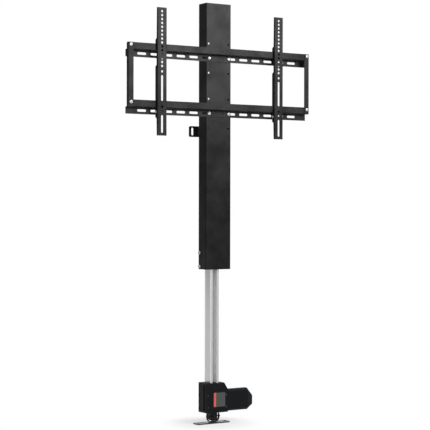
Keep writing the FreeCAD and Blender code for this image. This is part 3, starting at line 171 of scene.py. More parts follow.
class LiftColours(bpy.types.PropertyGroup):
    """Colours of the finishes."""

    powder: paint("Powder coat", "Black coat on the sheet metal", (0.0062, 0.0062, 0.0064))
    plastic: paint("Moulded plastic", "Black housings and slides", (0.0036, 0.0042, 0.0050))
    zinc: paint("Zinc plate", "Screws and nuts", (0.36, 0.36, 0.35))
    blacking: paint("Blackened steel", "Housing screws, foot pin and rivets", (0.010, 0.010, 0.011))
    steel: paint("Ground steel", "Motor, worm shaft and bearings", (0.52, 0.52, 0.53))
    grease: paint("Grease", "Pale film of grease on the spindle", (0.66, 0.66, 0.64))
    aluminium: paint("Anodised aluminium", "Rail of the mast", (0.50, 0.50, 0.50))
    bronze: paint("Bronze", "Wheel, nut and bush", (0.60, 0.40, 0.17))
    rubber: paint("Rubber", "Buffer under the cap", (0.018, 0.018, 0.018))
    band: paint("Plate band", "Band at the left of the plate", (0.51, 0.084, 0.045))
    field: paint("Plate field", "Rest of the plate", (0.034, 0.036, 0.037))
    card: paint("Grey card", "Card that darkens the left sides", (0.30, 0.30, 0.30))
    floor: paint("Floor", "Floor under the foot", (0.86, 0.86, 0.86))


class LiftStage(bpy.types.PropertyGroup):
    """Camera, light and floor."""

    eye: spot("Eye", "Where the camera stands", (-2.4930, -4.1028, 0.7507))
    yaw: angle("Yaw", "Turn of the view from +Y towards +X", 31.41)
    pitch: angle("Pitch", "Tilt of the view below the horizon", 0.36)
    lens: FloatProperty(name="Lens", description="Focal length in millimetres", default=116.17, min=1)
    roll: angle("Roll", "Turn of the camera about its own view", 0.1)
    key_place: spot("Key light", "Large soft light in front, high on the right", (1.02, -1.98, 1.92))
    key_aim: spot("Key aim", "Point that the key light faces", (0, 0, 1.3))
    key_size: length("Key size", "Side of the key light", 1100)
    key_power: watts("Key power", "Power of the key light", 52)
    fill_place: spot("Fill light", "Wide soft light behind the camera", (-2.8, -4.32, 0.92))
    fill_aim: spot("Fill aim", "Point that the fill light faces", (0, 0, 0.8))
    fill_size: length("Fill size", "Side of the fill light", 2800)
    fill_power: watts("Fill power", "Power of the fill light", 136)
    top_place: spot("Top light", "Soft light above", (-0.5, -0.7, 3.2))
    top_size: length("Top size", "Side of the top light", 1800)
    top_power: watts("Top power", "Power of the top light", 15)
    ambient: share("Ambient", "Light from the whole room", 0.15)
    card_place: spot("Grey card", "Middle of the card behind on the left", (-1.2, 1.95, 1.32))
    card_size: length("Card size", "Side of the grey card", 1800)
    floor_size: length("Floor", "Radius of the floor", 14000)
    shadow_near: length("Shadow core", "Floor keeps its shadow inside this radius", 60)
    shadow_far: length("Shadow edge", "Floor is white beyond this radius", 200)
    floor_glow: share("Floor glow", "White that lies over the floor near the foot", 0.65)


class Value:
    """A socket in an expression: each operator adds its Math node."""

    def __init__(self, finish, socket):
        self.finish = finish
        self.socket = socket

    def maths(self, operation, first, second):
        return self.finish.node("ShaderNodeMath", {"operation": operation}, {0: first, 1: second})

    def __add__(self, other):
        return self.maths("ADD", self, other)

    __radd__ = __add__

    def __sub__(self, other):
        return self.maths("SUBTRACT", self, other)

    def __rsub__(self, other):
        return self.maths("SUBTRACT", other, self)

    def __mul__(self, other):
        return self.maths("MULTIPLY", self, other)

    __rmul__ = __mul__

    def __abs__(self):
        return self.maths("ABSOLUTE", self, 0)

    def __lt__(self, other):
        return self.maths("LESS_THAN", self, other)

    def __gt__(self, other):
        return self.maths("GREATER_THAN", self, other)

    def __or__(self, other):
        return self.maths("MAXIMUM", self, other)


class Finish:
    """The node tree of a material or of the world, written as expressions."""

    def __init__(self, owner):
        self.owner = owner
        owner.use_nodes = True
        self.tree = owner.node_tree
        self.tree.nodes.clear()

    def node(self, kind, settings=None, sockets=None, output=0):
        """Add a node, set it up, feed its sockets and return one of its outputs."""
        made = self.tree.nodes.new(kind)
        for name, setting in (settings or {}).items():
            if name == "stops":
                self.set_stops(made.color_ramp.elements, setting)
            else:
                setattr(made, name, setting)
        for name, value in (sockets or {}).items():
            if isinstance(value, Value):
                self.tree.links.new(value.socket, made.inputs[name])
            else:
                made.inputs[name].default_value = value
        return Value(self, made.outputs[output]) if made.outputs else None

    def set_stops(self, elements, stops):
        while len(elements) < len(stops):
            elements.new(1)
        for element, (place, grey) in zip(elements, stops):
            element.position = place
            element.color = (grey, grey, grey, 1)

    def place(self, stretch=(1, 1, 1)):
        """Object coordinates, drawn together along each axis by the stretch."""
        here = self.node("ShaderNodeTexCoord", output="Object")
        return self.node("ShaderNodeMapping", sockets={"Vector": here, "Scale": stretch})

    def noise(self, scale, detail, stretch=(1, 1, 1)):
        """Cloudy grain with so many lumps in a metre."""
        return self.node("ShaderNodeTexNoise", sockets={"Vector": self.place(stretch), "Scale": scale,
                                                        "Detail": detail})

    def cells(self, scale):
        """Distance to the nearest of scattered points."""
        return self.node("ShaderNodeTexVoronoi", sockets={"Vector": self.place(), "Scale": scale})

    def ramp(self, value, *stops):
        return self.node("ShaderNodeValToRGB", {"stops": stops}, {"Fac": value})

    def along(self, axis):
        """One object coordinate in metres."""
        return self.node("ShaderNodeSeparateXYZ", sockets={"Vector": self.place()}, output=axis)

    def tint(self, factor, low, high):
        """A colour between two."""
        colours = {0: factor, 6: opaque(low), 7: opaque(high)}
        return self.node("ShaderNodeMix", {"data_type": "RGBA"}, colours, 2)

    def bump(self, height, depth, strength):
        return self.node("ShaderNodeBump", sockets={"Height": height, "Distance": depth,
                                                    "Strength": strength})

    def surface(self, sockets):
        """A Principled surface as the material's output."""
        shader = self.node("ShaderNodeBsdfPrincipled", sockets=sockets)
        self.close(shader)
        return self.owner

    def close(self, shader, kind="ShaderNodeOutputMaterial"):
        self.node(kind, sockets={"Surface": shader})


def opaque(colour):
    return colour if isinstance(colour, Value) else (*colour, 1)


def shade(colour, factor):
    return tuple(min(1, part * factor) for part in colour)


def new_finish(name):
    return Finish(bpy.data.materials.new(name))


def inside(finish, node):
    """One under the outer faces of a hollow CAD node, zero on them and outside it."""
    low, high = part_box(node)
    inner = finish.along("Z") > low.z
    for axis, start, end in (("X", low.x, high.x), ("Y", low.y, high.y)):
        inner = inner * (abs(finish.along(axis) - (start + end) / 2) < (end - start) / 2 - SKIN)
    return inner


def powder_coat(colours):
    """Satin black coat with orange peel, glossy clouds and grey specks; inside the column it is matt and
    its colour is painted darker, as painted shade.
    """
    finish = new_finish("powder_coat")
    peel = finish.noise(950, 3)
    clouds = finish.ramp(finish.noise(14, 4), (0.34, 0), (0.66, 1))
    specks = finish.ramp(finish.noise(2400, 1), (0.60, 0), (0.74, 1))
    base = finish.tint(clouds, shade(colours.powder, 0.85), shade(colours.powder, 1.2))
    base = finish.tint(specks * 0.3, base, shade(colours.powder, 2.6))
    outside = 1 - inside(finish, "column")
    return finish.surface({
        # Inside the column the base colour is painted darker: painted shade in the hollow of the column
        "Base Color": finish.tint(outside, shade(colours.powder, 0.4), base),
        "Roughness": 0.80 - outside * (0.48 - 0.12 * clouds - 0.06 * peel),
        "Specular IOR Level": 0.04,
        "Coat Weight": outside * (0.07 + 0.16 * clouds),
        "Coat Roughness": 0.36,
        "Normal": finish.bump(peel, 0.12 * MM, 0.35),
    })


def floor_coat(colours):
    """Glossier black coat of the floor plate, scuffed in patches."""
    finish = new_finish("floor_coat")
    peel = finish.noise(700, 3)
    scuffs = finish.ramp(finish.noise(60, 4), (0.45, 0), (0.62, 1))
    return finish.surface({
        "Base Color": finish.tint(scuffs, shade(colours.powder, 0.9), shade(colours.powder, 2.4)),
        "Roughness": 0.38 + 0.14 * scuffs + 0.06 * peel,
        "Specular IOR Level": 0.25,
        "Coat Weight": 0.62 - 0.25 * scuffs,
        "Coat Roughness": 0.2,
        "Normal": finish.bump(peel, 0.06 * MM, 0.3),
    })


def moulded_plastic(colours):
    """Spark-textured black housing."""
    finish = new_finish("moulded_plastic")
    pits = finish.noise(1700, 2)
    flow = finish.noise(16, 3, (1, 1, 2.5))
    return finish.surface({
        "Base Color": finish.tint(flow, shade(colours.plastic, 0.8), shade(colours.plastic, 1.35)),
        "Roughness": 0.36 + 0.12 * flow + 0.10 * pits,
        "Specular IOR Level": 0.085,
        "Normal": finish.bump(pits, 0.10 * MM, 0.4),
    })


def drawn_aluminium(colours):
    """Anodised extrusion with die lines along its length; its hollow is matt and its colour is painted
    pale, as painted light inside the rail.
    """
    finish = new_finish("drawn_aluminium")
    lines = finish.noise(1, 3, (900, 900, 3))
    bloom = finish.noise(7, 3)
    hollow = inside(finish, "guide_rail")
    streaks = lines * 0.6 + bloom * 0.4
    skin = finish.tint(streaks, shade(colours.aluminium, 0.90), shade(colours.aluminium, 1.08))
    return finish.surface({
        # In the hollow the base colour is painted paler: painted light on the inside of the rail
        "Base Color": finish.tint(hollow, skin, shade(colours.aluminium, 1.7)),
        "Roughness": 0.22 + 0.08 * lines + 0.06 * bloom + 0.4 * hollow,
        "Metallic": 1 - hollow,
        "Normal": finish.bump(lines, 0.02 * MM, 0.5),
    })


def zinc_plate(colours):
    """Bright zinc with a faint cloud of yellow and blue."""
    finish = new_finish("zinc_plate")
    clouds = finish.noise(160, 3)
    warm = tuple(a * b for a, b in zip(colours.zinc, (1.05, 1.0, 0.88)))
    cold = tuple(a * b for a, b in zip(colours.zinc, (0.90, 0.95, 1.0)))
    return finish.surface({
        "Base Color": finish.tint(clouds, cold, warm),
        "Roughness": 0.32 + 0.16 * clouds,
        "Metallic": 0.7,
        "Normal": finish.bump(finish.noise(2600, 2), 0.01 * MM, 0.4),
    })


def blackened_steel(colours):
    """Dark oxide on steel, worn a little lighter in clouds."""
    finish = new_finish("blackened_steel")
    clouds = finish.noise(220, 3)
    return finish.surface({
        "Base Color": finish.tint(clouds, shade(colours.blacking, 0.8), shade(colours.blacking, 1.6)),
        "Roughness": 0.34 + 0.16 * clouds,
        "Metallic": 1.0,
        "Normal": finish.bump(finish.noise(2600, 2), 0.01 * MM, 0.4),
    })


def ground_steel(colours):
    """Steel with grinding rings and a thin film of oil."""
    finish = new_finish("ground_steel")
    rings = finish.noise(1, 2, (30, 30, 2600))
    stain = finish.noise(26, 4)
    return finish.surface({
        "Base Color": finish.tint(stain, shade(colours.steel, 0.82), shade(colours.steel, 1.1)),
        "Roughness": 0.22 + 0.14 * rings + 0.06 * stain,
        "Metallic": 1.0,
        "Normal": finish.bump(rings, 0.01 * MM, 0.4),
    })


def greased_steel(colours):
    """Thread under a film of pale grease, thinner in patches where the steel shows."""
    finish = new_finish("greased_steel")
    bare = finish.noise(60, 4)
    return finish.surface({
        "Base Color": finish.tint(bare, colours.grease, colours.steel),
        "Roughness": 0.46 - 0.14 * bare,
        "Metallic": 0.4 * bare,
        "Normal": finish.bump(finish.noise(900, 3), 0.02 * MM, 0.4),
    })


def gear_bronze(colours):
    """Machined bronze, browner in patches."""
    finish = new_finish("gear_bronze")
    tarnish = finish.noise(70, 4)
    cuts = finish.noise(1, 2, (60, 60, 3200))
    brown = tuple(a * b for a, b in zip(colours.bronze, (0.72, 0.62, 0.5)))
    return finish.surface({
        "Base Color": finish.tint(tarnish, colours.bronze, brown),
        "Roughness": 0.26 + 0.16 * cuts + 0.10 * tarnish,
        "Metallic": 1.0,
        "Normal": finish.bump(cuts, 0.01 * MM, 0.4),
    })


def buffer_rubber(colours):
    """Dull rubber with a grey bloom."""
    finish = new_finish("buffer_rubber")
    bloom = finish.noise(60, 4)
    pores = finish.cells(1500)
    return finish.surface({
        "Base Color": finish.tint(bloom, colours.rubber, shade(colours.rubber, 1.9)),
        "Roughness": 0.72 + 0.18 * bloom,
        "Specular IOR Level": 0.3,
        "Normal": finish.bump(pores, 0.08 * MM, 0.35),
    })


def plate_film(colours, edge):
    """Blank film with a coloured band left of the edge and a grey field right of it."""
    finish = new_finish("plate_film")
    band = finish.along("X") < edge
    fibres = finish.noise(1300, 3)
    paper = finish.tint(fibres, shade(colours.field, 0.85), shade(colours.field, 1.15))
    ink = finish.tint(fibres, shade(colours.band, 0.88), shade(colours.band, 1.1))
    return finish.surface({
        "Base Color": finish.tint(band, paper, ink),
        "Roughness": 0.34 + 0.14 * fibres,
        "Normal": finish.bump(fibres, 0.02 * MM, 0.3),
    })


FINISHES = {
    "powder_black": powder_coat,
    "black_plastic": moulded_plastic,
    "zinc_steel": zinc_plate,
    "blackened_steel": blackened_steel,
    "plain_steel": ground_steel,
    "rail_aluminium": drawn_aluminium,
    "gear_brass": gear_bronze,
    "buffer_rubber": buffer_rubber,
}
SLOT_OF = {row["node"]: row["material_slot"] for row in frame["record"]["subparts"]}
# Nodes whose finish is not the one of their slot
OWN_FINISHES = {
    "foot_plate": floor_coat,
    "clevis_pin": blackened_steel,
    "pin_clip": blackened_steel,
    "yoke_rivets": blackened_steel,
    "spindle": greased_steel,
}


def finish_of(node):
    """The material of a node or of its slot, made on its first use."""
    maker = OWN_FINISHES.get(node) or FINISHES[SLOT_OF[node]]
    return bpy.data.materials.get(maker.__name__) or maker(bpy.context.scene.lift_colours)


def coat(piece, material):
    piece.data.materials.clear()
    piece.data.materials.append(material)


def release():
    """Nothing selected, in object mode."""
    if bpy.context.mode != "OBJECT":
        bpy.ops.object.mode_set(mode="OBJECT")
    bpy.ops.object.select_all(action="DESELECT")


def take(piece):
    """One piece in hand, and nothing else selected."""
    release()
    piece.select_set(True)
    bpy.context.view_layer.objects.active = piece


def edit():
    bpy.ops.object.mode_set(mode="EDIT")


def done():
    bpy.ops.object.mode_set(mode="OBJECT")


def pick(kind, test):
    """Select the faces or edges of the piece in hand that pass the test."""
    bpy.ops.mesh.select_mode(type={"faces": "FACE", "edges": "EDGE"}[kind])
    bpy.ops.mesh.select_all(action="DESELECT")
    mesh = bpy.context.object.data
    cage = bmesh.from_edit_mesh(mesh)
    for item in getattr(cage, kind):
        item.select_set(test(item))
    cage.select_flush_mode()
    bmesh.update_edit_mesh(mesh)


def runs_along(edge, axis):
    return abs((edge.verts[1].co - edge.verts[0].co).normalized().dot(axis)) > SAME_WAY


def runs_across(edge, axis):
    return abs((edge.verts[1].co - edge.verts[0].co).normalized().dot(axis)) < 1 - SAME_WAY


def faces_towards(direction):
    pick("faces", lambda face: face.normal.dot(direction) > SAME_WAY)


def rim_at(height):
    """Select the edges that lie flat at a height."""
    pick("edges", lambda edge: all(abs(vertex.co.z - height) < NEAR for vertex in edge.verts))


def pull(offset):
    bpy.ops.mesh.extrude_region_move(TRANSFORM_OT_translate={"value": tuple(offset)})


def widen(factor, centre):
    bpy.ops.transform.resize(value=(factor, factor, 1), center_override=tuple(centre))


def carve(piece, cutter):
    """Take the cutter's shape out of the piece."""
    tool = piece.modifiers.new("recess", "BOOLEAN")
    tool.operation = "DIFFERENCE"
    tool.solver = "EXACT"
    tool.object = cutter
    take(piece)
    bpy.ops.object.modifier_apply(modifier=tool.name)
    bpy.data.objects.remove(cutter)


def settle(piece):
    """Put the place, turn and scale of a piece into its mesh."""
    take(piece)
    bpy.ops.object.transform_apply(location=True, rotation=True, scale=True)


def smooth(piece, angle=35):
    take(piece)
    bpy.ops.object.shade_smooth_by_angle(angle=math.radians(angle))


def join(name, parts):
    release()
    for part in parts:
        part.select_set(True)
    bpy.context.view_layer.objects.active = parts[0]
    bpy.ops.object.join()
    parts[0].name = name
    parts[0].data.name = name
    return parts[0]


def stand_for(piece, node):
    """The piece takes the place, the finish and the body of a CAD node."""
    coat(piece, finish_of(node))
    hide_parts(node)
    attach(piece, frame["nodes"][node]["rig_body"])


def round_bar(radius, low, high):
    release()
    bpy.ops.mesh.primitive_cylinder_add(vertices=BAR_SIDES, radius=radius, depth=high - low,
                                        location=(0, 0, (low + high) / 2))
    bar = bpy.context.object
    settle(bar)
    return bar


def thread(sizes, radius, low, high):
    """A thread of several starts between two heights, closed at both ends."""
    pitch = sizes.thread_lead / sizes.thread_starts
    flank, flat = sizes.thread_flank * pitch, sizes.thread_flat * pitch
    release()
    bpy.ops.mesh.primitive_plane_add(size=MM)
    rod = bpy.context.object
    edit()
    # The profile grows from a single point, which stays selected in vertex mode only
    bpy.ops.mesh.select_mode(type="VERT")
    bpy.ops.mesh.select_all(action="SELECT")
    bpy.ops.mesh.merge(type="CENTER")
    bpy.ops.transform.translate(value=(radius - sizes.thread_depth, 0, low - sizes.thread_lead))
    for _ in range(sizes.thread_starts):
        pull((0, 0, flat))
        pull((sizes.thread_depth, 0, flank))
        pull((0, 0, flat))
        pull((-sizes.thread_depth, 0, flank))
    done()
    sweep = rod.modifiers.new("turns", "SCREW")
    sweep.axis = "Z"
    sweep.screw_offset = sizes.thread_lead
    sweep.iterations = math.ceil((high - low) / sizes.thread_lead) + 2
    sweep.steps = sweep.render_steps = sizes.thread_steps
    sweep.use_merge_vertices = True
    bpy.ops.object.modifier_apply(modifier=sweep.name)
    edit()
    bpy.ops.mesh.select_all(action="SELECT")
    bpy.ops.mesh.remove_doubles(threshold=NEAR)
    for height, side in ((low, -Z), (high, Z)):
        bpy.ops.mesh.select_all(action="SELECT")
        bpy.ops.mesh.bisect(plane_co=(0, 0, height), plane_no=tuple(side), use_fill=True, clear_outer=True)
    bpy.ops.mesh.select_all(action="SELECT")
    bpy.ops.mesh.normals_make_consistent(inside=False)
    done()
    return rod


def make_spindle(sizes):
    """Lifting spindle: a plain foot with its collar, the thread, and a plain journal at the top."""
    node = "spindle"
    shape = frame["nodes"][node].data
    low, high = (corner.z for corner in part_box(node))
    widest = max(vertex.co.xy.length for vertex in shape.vertices)
    collar = [vertex.co.z for vertex in shape.vertices if vertex.co.xy.length > RIM * widest]
    collar_low, collar_high = min(collar), max(collar)
    radius = max(vertex.co.xy.length for vertex in shape.vertices if vertex.co.z > collar_high + MM)

    foot = round_bar(radius, low, collar_low)
    edit()
    rim_at(low)
    bpy.ops.mesh.bevel(offset=sizes.spindle_chamfer, segments=1)
    faces_towards(Z)
    pull((0, 0, 0))
    widen(widest / radius, (0, 0, collar_low))
    pull((0, 0, collar_high - collar_low))
    rim_at(collar_high)
    bpy.ops.mesh.bevel(offset=sizes.collar_edge, segments=2)
    done()

    shoulder = high - sizes.journal
    rod = thread(sizes, radius, collar_high, shoulder)
    journal = round_bar(radius - sizes.thread_depth / 2, shoulder, high)
    edit()
    rim_at(high)
    bpy.ops.mesh.bevel(offset=sizes.spindle_chamfer, segments=1)
    done()
    spindle = join("threaded_spindle", [foot, rod, journal])
    smooth(spindle)
    stand_for(spindle, node)


def islands(node):
    """The separate solids of a CAD node, each as the list of its points."""
    cage = bmesh.new()
    cage.from_mesh(frame["nodes"][node].data)
    bmesh.ops.remove_doubles(cage, verts=cage.verts, dist=NEAR / 10)
    left = set(cage.verts)
    found = []
    while left:
        queue = [left.pop()]
        solid = []
        while queue:
            vertex = queue.pop()
            solid.append(vertex.co.copy())
            near = {edge.other_vert(vertex) for edge in vertex.link_edges} & left
            left -= near
            queue.extend(near)
        found.append(solid)
    cage.free()
    return sorted(found, key=lambda solid: tuple(round(part, 4) for part in middle(solid)))


def middle(points):
    low = Vector(min(point[k] for point in points) for k in range(3))
    high = Vector(max(point[k] for point in points) for k in range(3))
    return (low + high) / 2


class Screw:
    """Place and size of one CAD screw, read from its points: the axis runs out of the head."""

    def __init__(self, points, axis):
        centre = middle(points)
        line = [(point - centre).dot(axis) for point in points]
        radii = [((point - centre) - axis * t).length for point, t in zip(points, line)]
        self.head = max(radii)
        widest = [t for t, radius in zip(line, radii) if radius > RIM * self.head]
        if max(line) - max(widest) > min(widest) - min(line):
            axis, line, widest = -axis, [-t for t in line], [-t for t in widest]
        self.axis = axis
        seat = min(widest)
        self.height = max(line) - seat
        self.shank = max(radius for t, radius in zip(line, radii) if t < seat - UNDER_HEAD)
        self.reach = seat - min(line)
        self.seat = centre + axis * seat

    def size(self):
        return tuple(round(part, 5) for part in (self.head, self.height, self.shank, self.reach))


def cross_tool(sizes, head, height, turn):
    """One tapered arm of the cross recess."""
    release()
    deep = sizes.recess_depth * height
    bpy.ops.mesh.primitive_cube_add(size=1, location=(0, 0, height))
    arm = bpy.context.object
    arm.scale = (2 * head * sizes.recess_reach, 2 * head * sizes.recess_width, 2 * deep)
    arm.rotation_euler = (0, 0, turn)
    settle(arm)
    edit()
    faces_towards(-Z)
    widen(sizes.recess_taper, (0, 0, height - deep))
    done()
    return arm


def socket_tool(sizes, head, height):
    """A hexagon socket with a drill point at its bottom."""
    release()
    deep = sizes.recess_depth * height
    reach = sizes.socket_reach * head
    bpy.ops.mesh.primitive_cylinder_add(vertices=6, radius=reach, depth=2 * deep, location=(0, 0, height))
    tool = bpy.context.object
    settle(tool)
    edit()
    faces_towards(-Z)
    bpy.ops.mesh.inset(thickness=sizes.socket_step * reach)
    bpy.ops.transform.translate(value=(0, 0, -sizes.socket_point * height))
    done()
    return tool


def screw_form(sizes, size, recess):
    """A screw at the origin: rounded head above the seat, shank below it, recess in the crown."""
    head, height, shank, reach = size
    release()
    bpy.ops.mesh.primitive_cylinder_add(vertices=SCREW_SIDES, radius=head, depth=height,
                                        location=(0, 0, height / 2))
    screw = bpy.context.object
    settle(screw)
    edit()
    rim_at(height)
    bpy.ops.mesh.bevel(offset=sizes.crown * height, segments=5)
    faces_towards(-Z)
    bpy.ops.mesh.inset(thickness=head - shank)
    pull((0, 0, -reach))
    rim_at(-reach)
    bpy.ops.mesh.bevel(offset=sizes.tip * shank, segments=1)
    done()
    if recess == "cross":
        for turn in (0, math.pi / 2):
            carve(screw, cross_tool(sizes, head, height, turn))
    else:
        carve(screw, socket_tool(sizes, head, height))
    smooth(screw, 30)
    return screw


SCREWS = {
    "end_bar_screws": (Y, "cross"),
    "rail_screws": (Y, "cross"),
    "carriage_bolts": (X, "cross"),
    "gearbox_screws": (Y, "cross"),
    "cap_screws": (Z, "cross"),
    "cover_screws": (Z, "cross"),
    "wall_bracket_screws": (Y, "cross"),
    "left_lock_bolt": (X, "socket"),
    "right_lock_bolt": (X, "socket"),
}
# Turn of each screw's recess from the one before it
SCREW_TURN = math.radians(37)


def make_screws(sizes, node):
    """Screws with recessed heads where the CAD node has plain ones."""
    axis, recess = SCREWS[node]
    found = [Screw(points, axis) for points in islands(node)]
    form = screw_form(sizes, found[0].size(), recess)
    copies = []
    for number, screw in enumerate(found):
        take(form)
        bpy.ops.object.duplicate()
        copy = bpy.context.object
        lean = screw.axis.to_track_quat("Z", "Y").to_matrix().to_4x4()
        turn = Matrix.Rotation(SCREW_TURN * number, 4, "Z")
        copy.matrix_world = Matrix.Translation(screw.seat) @ lean @ turn
        settle(copy)
        copies.append(copy)
    bpy.data.objects.remove(form)
    piece = join("recessed_" + node, copies)
    stand_for(piece, node)


def make_plate(sizes, colours):
    """Blank film in the sunk panel of the gearbox front."""
    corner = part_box("gearbox_front")[0] + Vector((sizes.plate_left, sizes.panel_depth, sizes.plate_low))
    size = Vector((sizes.plate_width, sizes.plate_gauge, sizes.plate_height))
    centre = corner + Vector((size.x, -size.y, size.z)) / 2
    release()
    bpy.ops.mesh.primitive_cube_add(size=1, location=centre)
    plate = bpy.context.object
    plate.name = plate.data.name = "blank_plate"
    plate.scale = size
    settle(plate)
    edit()
    pick("edges", lambda edge: runs_along(edge, Y))
    bpy.ops.mesh.bevel(offset=sizes.plate_round, segments=6)
    faces_towards(-Y)
    bpy.ops.mesh.inset(thickness=sizes.plate_rim)
    done()
    smooth(plate)
    coat(plate, plate_film(colours, corner.x + sizes.plate_band))
    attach(plate, "mast")


def make_lug(sizes):
    """Deep clevis lug whose lower end is rounded along the pin, more at its rear."""
    node = "clevis_lug"
    low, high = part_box(node)
    pin = sum(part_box("clevis_pin"), Vector()) / 2
    low.y = pin.y - sizes.lug_front
    high.y = pin.y + sizes.lug_rear
    release()
    bpy.ops.mesh.primitive_cube_add(size=1, location=(low + high) / 2)
    lug = bpy.context.object
    lug.name = lug.data.name = "rounded_lug"
    lug.scale = high - low
    settle(lug)
    edit()
    for side, radius in ((low.y, sizes.lug_toe), (high.y, sizes.lug_heel)):
        pick("edges", lambda edge: runs_along(edge, X) and edge.verts[0].co.z < low.z + NEAR
             and abs(edge.verts[0].co.y - side) < NEAR)
        bpy.ops.mesh.bevel(offset=radius, segments=12)
    pick("edges", lambda edge: runs_across(edge, X)
         and min(vertex.co.z for vertex in edge.verts) < high.z - MM)
    bpy.ops.mesh.bevel(offset=sizes.lug_edge, segments=3)
    done()
    bpy.ops.mesh.primitive_cylinder_add(vertices=BAR_SIDES, radius=sizes.lug_bore,
                                        depth=2 * (high.x - low.x),
                                        location=((low.x + high.x) / 2, pin.y, pin.z),
                                        rotation=(0, math.pi / 2, 0))
    bore = bpy.context.object
    settle(bore)
    carve(lug, bore)
    smooth(lug)
    stand_for(lug, node)


def make_floor(stage, colours):
    """Pale floor that is white away from the foot and keeps the shadow near it."""
    release()
    bpy.ops.mesh.primitive_circle_add(vertices=96, radius=stage.floor_size, fill_type="NGON")
    floor = bpy.context.object
    floor.name = floor.data.name = "floor"
    finish = new_finish("pale_floor")
    seen = seen_by_eye(finish)
    distance = finish.node("ShaderNodeVectorMath", {"operation": "LENGTH"}, {0: finish.place()}, "Value")
    far = finish.node("ShaderNodeMapRange", {"interpolation_type": "SMOOTHSTEP"}, {
        "Value": distance, "From Min": stage.shadow_near, "From Max": stage.shadow_far,
        "To Min": stage.floor_glow, "To Max": 1.0})
    grain = finish.noise(40, 3)
    lit = finish.node("ShaderNodeBsdfPrincipled", sockets={
        "Base Color": finish.tint(grain, shade(colours.floor, 0.98), colours.floor), "Roughness": 0.9,
        "Specular IOR Level": 0.1})
    white = finish.node("ShaderNodeEmission", sockets={"Color": (1, 1, 1, 1), "Strength": 1.0})
    finish.close(finish.node("ShaderNodeMixShader", sockets={0: seen * far, 1: lit, 2: white}))
    coat(floor, finish.owner)


def make_card(stage, colours):
    """Grey card behind on the left, out of the picture, that the left sides mirror."""
    release()
    ahead = Vector((stage.card_place[0], stage.card_place[1], 0))
    bpy.ops.mesh.primitive_plane_add(size=stage.card_size, location=tuple(stage.card_place),
                                     rotation=(-ahead).to_track_quat("Z", "Y").to_euler())
    card = bpy.context.object
    card.name = card.data.name = "grey_card"
    card.visible_camera = False
    card.visible_shadow = False
    card.visible_diffuse = False
    finish = new_finish("grey_card")
    mottle = finish.noise(3, 2)
    grey = finish.tint(mottle, shade(colours.card, 0.95), shade(colours.card, 1.05))
    finish.close(finish.node("ShaderNodeEmission", sockets={"Color": grey, "Strength": 1.0}))
    coat(card, finish.owner)


def seen_by_eye(finish):
    """One for rays from the camera, mirror-like surfaces and glass, zero for rays that carry light."""
    names = ("Is Camera Ray", "Is Glossy Ray", "Is Transmission Ray")
    camera, mirror, glass = (finish.node("ShaderNodeLightPath", output=name) for name in names)
    return camera | mirror | glass


def make_room(stage):
    """White room to look at, dim room to light by."""
    world = bpy.context.scene.world or bpy.data.worlds.new("room")
    bpy.context.scene.world = world
    finish = Finish(world)
    strength = stage.ambient + (1 - stage.ambient) * seen_by_eye(finish)
    light = finish.node("ShaderNodeBackground", sockets={"Color": (1, 1, 1, 1), "Strength": strength})
    finish.close(light, "ShaderNodeOutputWorld")


def make_lamp(name, place, aim, size, power):
    release()
    turn = (Vector(aim) - Vector(place)).to_track_quat("-Z", "Y").to_euler()
    bpy.ops.object.light_add(type="AREA", location=tuple(place), rotation=turn)
    lamp = bpy.context.object
    lamp.name = lamp.data.name = name
    lamp.data.size = size
    lamp.data.energy = power


def make_camera(stage):
    release()
    level = math.cos(stage.pitch)
    ahead = Vector((math.sin(stage.yaw) * level, math.cos(stage.yaw) * level, -math.sin(stage.pitch)))
    turn = ahead.to_track_quat("-Z", "Y") @ Quaternion((0, 0, 1), stage.roll)
    bpy.ops.object.camera_add(location=tuple(stage.eye), rotation=turn.to_euler())
    camera = bpy.context.object
    camera.name = camera.data.name = "view"
    camera.data.lens = stage.lens
    camera.data.sensor_width = 36
    camera.data.clip_end = 100
    bpy.context.scene.camera = camera


class LIFT_OT_spindle(bpy.types.Operator):
    """Model the threaded spindle"""

    bl_idname = "lift.spindle"
    bl_label = "Threaded spindle"
    bl_options = {"REGISTER", "UNDO"}

    def execute(self, context):
        make_spindle(context.scene.lift_sizes)
        return {"FINISHED"}


class LIFT_OT_screws(bpy.types.Operator):
    """Model the screws with their recessed heads"""

    bl_idname = "lift.screws"
    bl_label = "Recessed screws"
    bl_options = {"REGISTER", "UNDO"}

    def execute(self, context):
        for node in SCREWS:
            make_screws(context.scene.lift_sizes, node)
        return {"FINISHED"}


class LIFT_OT_plate(bpy.types.Operator):
    """Lay the blank plate into the gearbox panel"""

    bl_idname = "lift.plate"
    bl_label = "Blank plate"
    bl_options = {"REGISTER", "UNDO"}

    def execute(self, context):
        make_plate(context.scene.lift_sizes, context.scene.lift_colours)
        return {"FINISHED"}


class LIFT_OT_lug(bpy.types.Operator):
    """Model the rounded clevis lug"""

    bl_idname = "lift.lug"
    bl_label = "Clevis lug"
    bl_options = {"REGISTER", "UNDO"}

    def execute(self, context):
        make_lug(context.scene.lift_sizes)
        return {"FINISHED"}


class LIFT_OT_finishes(bpy.types.Operator):
    """Coat every CAD node with its finish"""

    bl_idname = "lift.finishes"
    bl_label = "Finishes"
    bl_options = {"REGISTER", "UNDO"}

    def execute(self, context):
        for node, piece in frame["nodes"].items():
            coat(piece, finish_of(node))
        return {"FINISHED"}


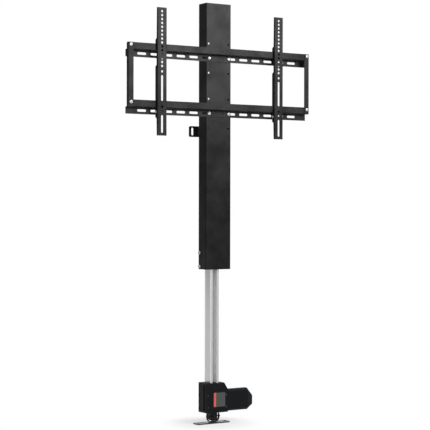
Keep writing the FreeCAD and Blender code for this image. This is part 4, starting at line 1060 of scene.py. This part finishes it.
class LIFT_OT_stage(bpy.types.Operator):
    """Set up the floor, the light and the camera"""

    bl_idname = "lift.stage"
    bl_label = "Stage"
    bl_options = {"REGISTER", "UNDO"}

    def execute(self, context):
        stage = context.scene.lift_stage
        context.scene.view_settings.view_transform = "Standard"
        make_floor(stage, context.scene.lift_colours)
        make_card(stage, context.scene.lift_colours)
        make_room(stage)
        make_lamp("key_light", stage.key_place, stage.key_aim, stage.key_size, stage.key_power)
        make_lamp("fill_light", stage.fill_place, stage.fill_aim, stage.fill_size, stage.fill_power)
        make_lamp("top_light", stage.top_place, (0, 0, 0), stage.top_size, stage.top_power)
        make_camera(stage)
        return {"FINISHED"}


OPERATORS = (LIFT_OT_spindle, LIFT_OT_screws, LIFT_OT_plate, LIFT_OT_lug, LIFT_OT_finishes, LIFT_OT_stage)


class LIFT_PT_panel(bpy.types.Panel):
    """Steps and values of the screen lift"""

    bl_idname = "LIFT_PT_panel"
    bl_label = "Screen lift"
    bl_space_type = "VIEW_3D"
    bl_region_type = "UI"
    bl_category = "Lift"

    def draw(self, context):
        for step in OPERATORS:
            self.layout.operator(step.bl_idname)
        for group in (context.scene.lift_sizes, context.scene.lift_colours, context.scene.lift_stage):
            box = self.layout.box()
            for name in group.__annotations__:
                box.prop(group, name)


GROUPS = {"lift_sizes": LiftSizes, "lift_colours": LiftColours, "lift_stage": LiftStage}


def register():
    for group in GROUPS.values():
        bpy.utils.register_class(group)
    for name, group in GROUPS.items():
        setattr(bpy.types.Scene, name, PointerProperty(type=group))
    for step in OPERATORS:
        bpy.utils.register_class(step)
    bpy.utils.register_class(LIFT_PT_panel)


def unregister():
    bpy.utils.unregister_class(LIFT_PT_panel)
    for step in reversed(OPERATORS):
        bpy.utils.unregister_class(step)
    for name, group in GROUPS.items():
        delattr(bpy.types.Scene, name)
        bpy.utils.unregister_class(group)


def main():
    register()
    bpy.ops.lift.spindle()
    bpy.ops.lift.screws()
    bpy.ops.lift.plate()
    bpy.ops.lift.lug()
    bpy.ops.lift.finishes()
    bpy.ops.lift.stage()


if __name__ == "__main__":
    main()
